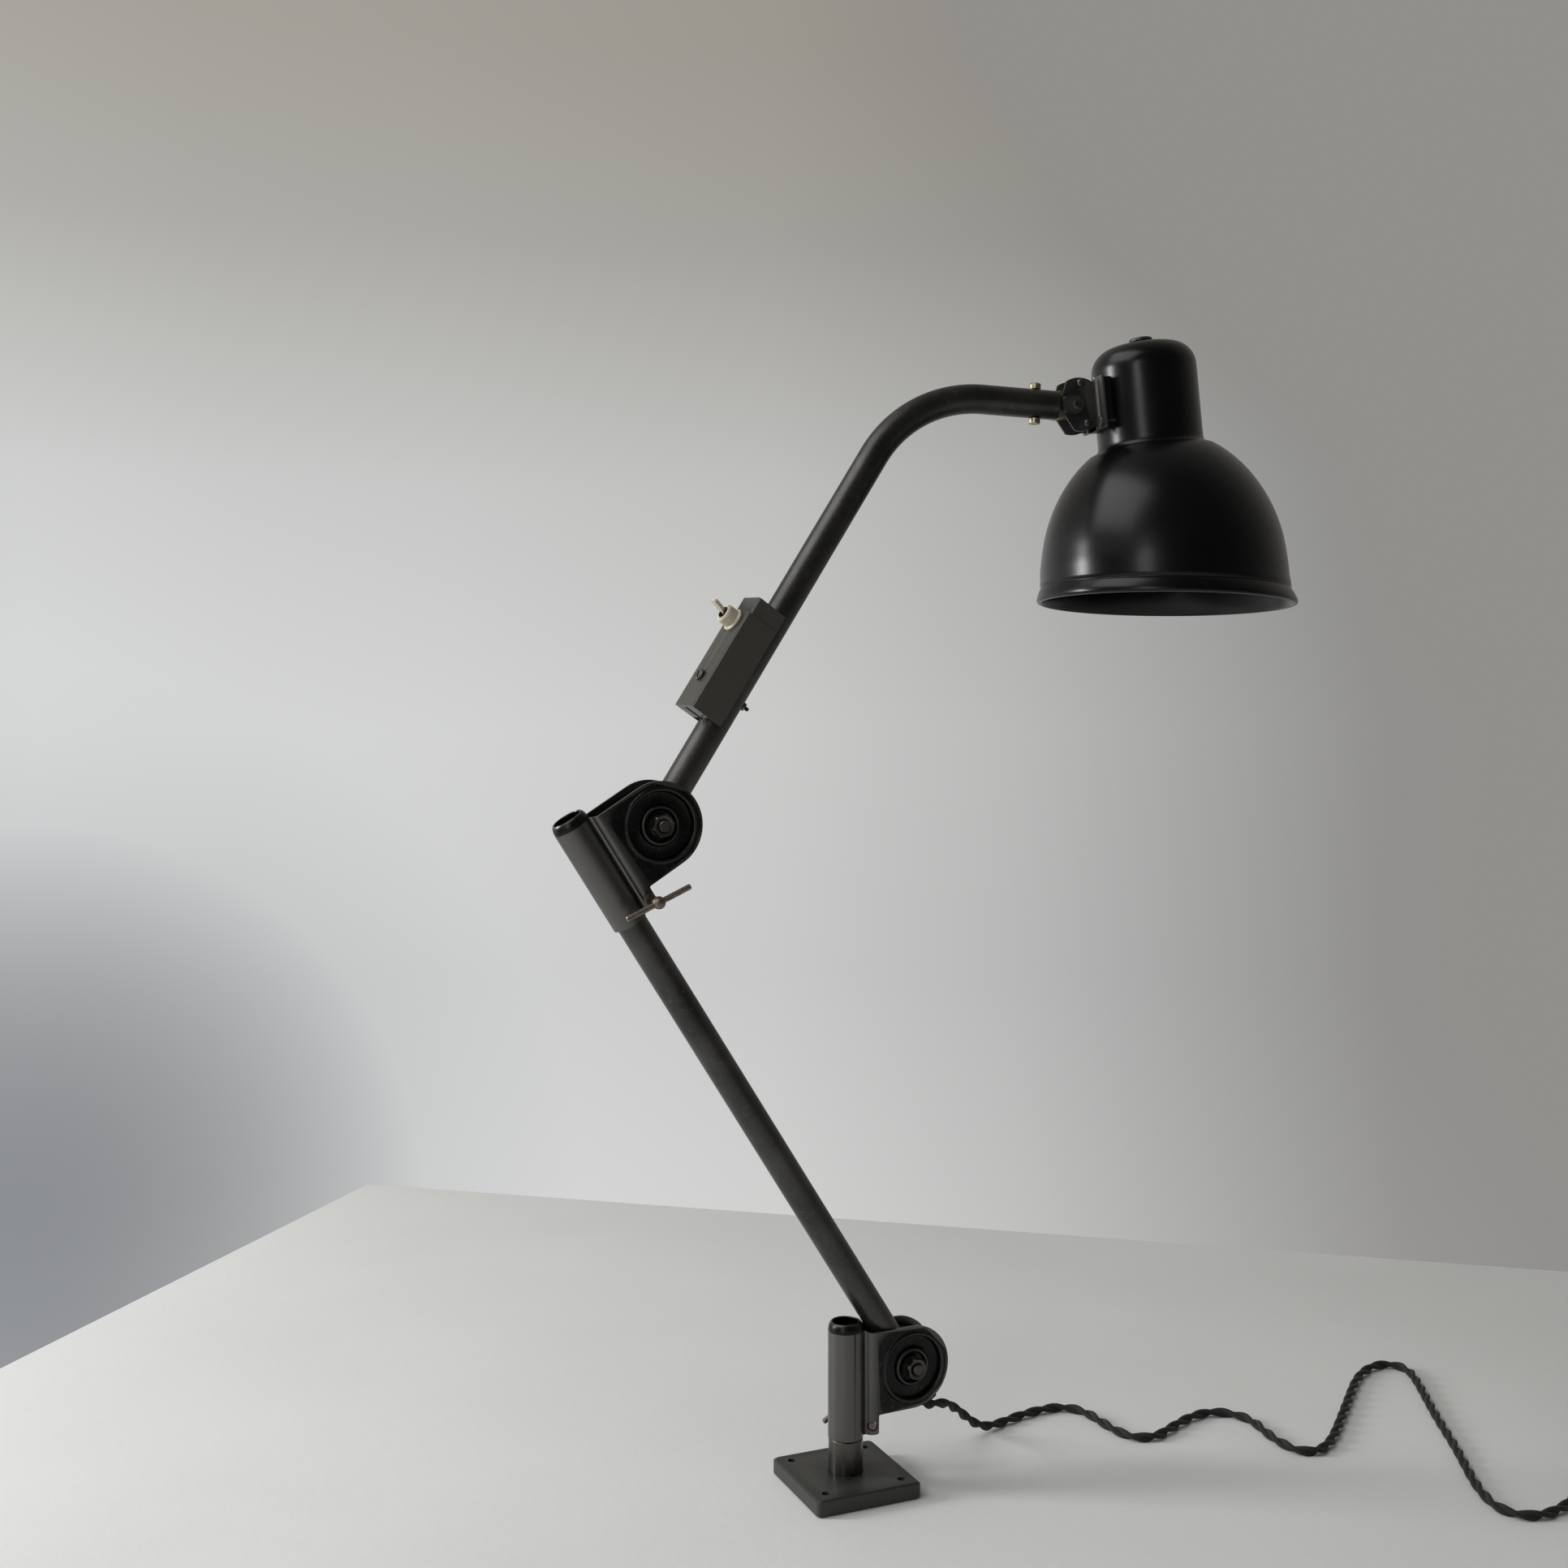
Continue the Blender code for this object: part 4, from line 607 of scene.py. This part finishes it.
# ---- brackets
def bracket(prefix, m, body):
    back = arc(0, 0, 12.7, -42, -318, 72)
    inner = arc(0, 0, 10.75, -322, -38, 68)
    neck = [(80, -12.7), (17.4, -12.7), (16.2, -12.62), (15.2, -12.4), (14.2, -11.85), (13.4, -11.1), (12.8, -10.3), (12.2, -9.5), (11.6, -8.95), (10.9, -8.6)]
    neck_in = [(10.3, -6.35), (11.4, -6.42), (12.4, -6.8), (13.3, -7.45), (14.0, -8.3), (14.7, -9.2), (15.4, -9.95), (16.3, -10.5), (17.4, -10.75), (80, -10.75)]
    outline = (neck + back + [(x, -y) for x, y in reversed(neck)] + [(x, -y) for x, y in reversed(neck_in)] + inner + neck_in)
    ob = piece(prefix + "_bracket_pressing", prism(outline, -60, 60), m, "bracket")
    outside = ([(-30, -45.0), (8.6, -45.0), (9.6, -43.2), (19.2, -43.2), (20.2, -42.2), (20.2, -30.6), (20.4, -30.0), (21.0, -29.6), (48.66, -29.6)]
               + arc(48.66, 0, 29.6, -84, 84, 72)
               + [(48.66, 29.6), (15.5, 29.6), (13.6, 29.8), (12.5, 30.3), (11.6, 30.8), (11.0, 31.0), (-30, 31.0)])
    steps = [("INTERSECT", piece("t", prism(outside, -40, 40), m @ turn(90, "X"), None)),
             ("DIFFERENCE", piece("t", turned([(25.35, -40), (25.35, 40)], 90), m @ shift(48.66, 0, 0) @ ALONG["Y"], None))]
    dish = [(26.3, 12.25), (26.0, 12.75), (25.6, 13.2), (25.1, 13.6), (24.5, 13.9), (23.9, 13.9), (23.3, 13.5), (22.9, 12.8), (22.65, 11.6), (22.5, 10.2), (22.1, 9.35),
            (21.5, 9.1), (15.0, 9.1), (14.3, 9.35), (13.9, 10.1), (13.6, 11.1), (13.15, 12.0), (12.5, 12.5), (11.8, 12.55), (11.1, 12.1), (10.75, 11.2), (10.55, 10.2),
            (10.2, 9.45), (9.7, 9.2), (4.35, 9.2), (4.35, 7.3), (23.3, 7.3), (24.2, 11.1), (26.3, 11.1)]
    for d in ("-Y", "Y"):
        steps.append(("UNION", piece("t", turned(dish, 96, True), m @ shift(48.66, 0, 0) @ ALONG[d], None)))
    rim = [(12.62, 29.6), (12.68, 31.4), (12.6, 32.8), (12.3, 34.2), (11.9, 35.4), (11.3, 36.6), (10.6, 37.3), (10.0, 37.35), (9.65, 36.9), (9.7, 36.3), (10.2, 35.2),
           (10.6, 34.2), (10.85, 33.2), (10.92, 32.2), (10.92, 29.6)]
    steps.append(("UNION", piece("t", turned(rim, 96, True), m, None)))
    steps.append(("DIFFERENCE", piece("t", turned([(3.35, -40), (3.35, 40)], 32), m @ shift(15.4, 0, -37.0) @ ALONG["Y"], None)))
    carve(ob, steps, smooth=38)
    stands_for(ob, prefix + "_bracket", body)
    # rounded hexagon nut with a dished face
    nut = bmesh.new()
    rc, n = 7.0 / math.cos(math.pi / 6), 48

    def ring(limit, r, z):
        out = []
        for k in range(n):
            ang = 2 * math.pi * k / n
            off = (ang + math.pi / 6) % (math.pi / 3) - math.pi / 6
            rr = min(r, limit / math.cos(off))
            out.append(nut.verts.new((rr * math.cos(ang), rr * math.sin(ang), z)))
        return out
    loops = [ring(7.0, 7.1, 12.0), ring(7.0, rc, 12.8), ring(7.0, rc, 17.8), ring(7.0, 7.1, 18.6), ring(9, 5.4, 18.6), ring(9, 4.3, 17.9), ring(9, 4.3, 12.0)]
    rings_to_faces(nut, loops, True)
    nb = piece(prefix + "_pivot_nut_cut", nut, m @ shift(48.66, 0, 0) @ ALONG["-Y"] @ turn(12, "Z"), "fastener")
    stands_for(nb, prefix + "_pivot_nut", body)


bracket("lower", LOW_BR, "lower_bracket")
bracket("upper", UP_BR, "upper_bracket")

# ---------------------------------------------------------------- stage and light
def plane(name, corners, mat):
    me = bpy.data.meshes.new(name)
    me.from_pydata(corners, [], [tuple(range(len(corners)))])
    ob = bpy.data.objects.new(name, me)
    ROOT.objects.link(ob)
    me.materials.append(mat)
    return ob


table_m, nt, b = new_material("table_pale_paint")
nt.links.new(ramp(nt, noise(nt, 3, 4), [(0.3, (0.74, 0.745, 0.74)), (0.7, (0.79, 0.795, 0.79))]), b.inputs["Base Color"])
b.inputs["Roughness"].default_value = 0.62
bump(nt, noise(nt, 90, 5, 0.65), 0.30, 0.0009, b)
EDGE_A, EDGE_B = Vector((0.7855, -0.6189, 0)), Vector((-0.6189, -0.7855, 0))
corner = Vector((-0.174, 0.984, 0))
plane("table_top", [tuple(corner), tuple(corner + EDGE_A * 2.9), tuple(corner + EDGE_A * 2.9 + EDGE_B * 2.9), tuple(corner + EDGE_B * 2.9)][::-1], table_m)

world = bpy.data.worlds.new("world")
scene.world = world
world.use_nodes = True
wn = world.node_tree
bg = wn.nodes["Background"]
bg.inputs["Strength"].default_value = 1.0
tc = wn.nodes.new("ShaderNodeTexCoord")


def along(vec):
    d = wn.nodes.new("ShaderNodeVectorMath")
    d.operation = "DOT_PRODUCT"
    wn.links.new(tc.outputs["Generated"], d.inputs[0])
    d.inputs[1].default_value = vec
    r = wn.nodes.new("ShaderNodeMapRange")
    r.inputs["From Min"].default_value = -1.0
    r.inputs["From Max"].default_value = 1.0
    wn.links.new(d.outputs["Value"], r.inputs["Value"])
    return r.outputs["Result"]


side_tone = ramp(wn, along((-0.917, 0.398, 0)), [(0.0, (0.20, 0.195, 0.19)), (0.29, (0.26, 0.255, 0.25)), (0.33, (0.285, 0.28, 0.275)), (0.40, (0.42, 0.42, 0.415)),
                                                 (0.431, (0.485, 0.485, 0.48)), (0.504, (0.59, 0.59, 0.585)), (0.598, (0.645, 0.65, 0.648)), (0.655, (0.665, 0.672, 0.67)),
                                                 (0.707, (0.70, 0.71, 0.71)), (0.85, (0.60, 0.61, 0.61)), (1.0, (0.50, 0.51, 0.51))])
high_tone = ramp(wn, along((0, 0, 1)), [(0.0, (0.55, 0.55, 0.56)), (0.36, (1.08, 1.08, 1.08)), (0.435, (0.98, 0.98, 0.985)), (0.508, (1.0, 1.0, 1.0)), (0.58, (0.88, 0.88, 0.87)),
                                        (0.647, (0.62, 0.60, 0.56)), (0.695, (0.56, 0.53, 0.48)), (0.80, (0.52, 0.49, 0.44)), (1.0, (0.48, 0.46, 0.42))])
room_tone = ramp(wn, along((0.3979, 0.9173, 0)), [(0.0, (0.16, 0.16, 0.16)), (0.30, (0.26, 0.26, 0.26)), (0.55, (0.75, 0.75, 0.75)), (0.75, (1.0, 1.0, 1.0))])
corner_dir = (Vector((0.3979, 0.9173, -0.0167)) + Vector((-0.917, 0.398, 0)) * 0.47 + Vector((0, 0, -1)) * 0.27).normalized()
low_tone = ramp(wn, along(tuple(corner_dir)), [(0.976, (1.0, 1.0, 1.0)), (0.988, (0.90, 0.90, 0.905)), (0.9955, (0.55, 0.555, 0.57)), (1.0, (0.36, 0.37, 0.385))])


def blend(kind, a, b):
    n = wn.nodes.new("ShaderNodeMix")
    n.data_type = "RGBA"
    n.blend_type = kind
    n.inputs[0].default_value = 1.0
    wn.links.new(a, n.inputs[6])
    if isinstance(b, tuple):
        n.inputs[7].default_value = b
    else:
        wn.links.new(b, n.inputs[7])
    return n.outputs[2]


walls = blend("LIGHTEN", blend("MULTIPLY", side_tone, high_tone), (0.285, 0.275, 0.255, 1.0))
wn.links.new(blend("MULTIPLY", blend("MULTIPLY", walls, room_tone), low_tone), bg.inputs["Color"])
scene.view_settings.view_transform = "Standard"


def area(name, loc, target, size, energy, colour=(1, 1, 1)):
    l = bpy.data.lights.new(name, "AREA")
    l.shape = "RECTANGLE"
    l.size, l.size_y = size
    l.energy = energy
    l.color = colour
    o = bpy.data.objects.new(name, l)
    ROOT.objects.link(o)
    o.location = loc
    o.rotation_euler = (Vector(target) - Vector(loc)).to_track_quat("-Z", "Y").to_euler()
    return o


area("window_left", (-2.2, 1.0, 0.95), (0.0, 0.0, 0.2), (0.45, 0.85), 38, (1.0, 1.0, 0.995))
area("window_front", (-1.85, -1.72, 0.95), (0.2, 0.0, 0.6), (0.50, 1.2), 8, (1.0, 0.99, 0.97))
area("ceiling_bounce", (-1.7, 0.1, 2.5), (-0.2, 0.2, 0.0), (2.4, 1.8), 36, (0.985, 0.99, 1.0))
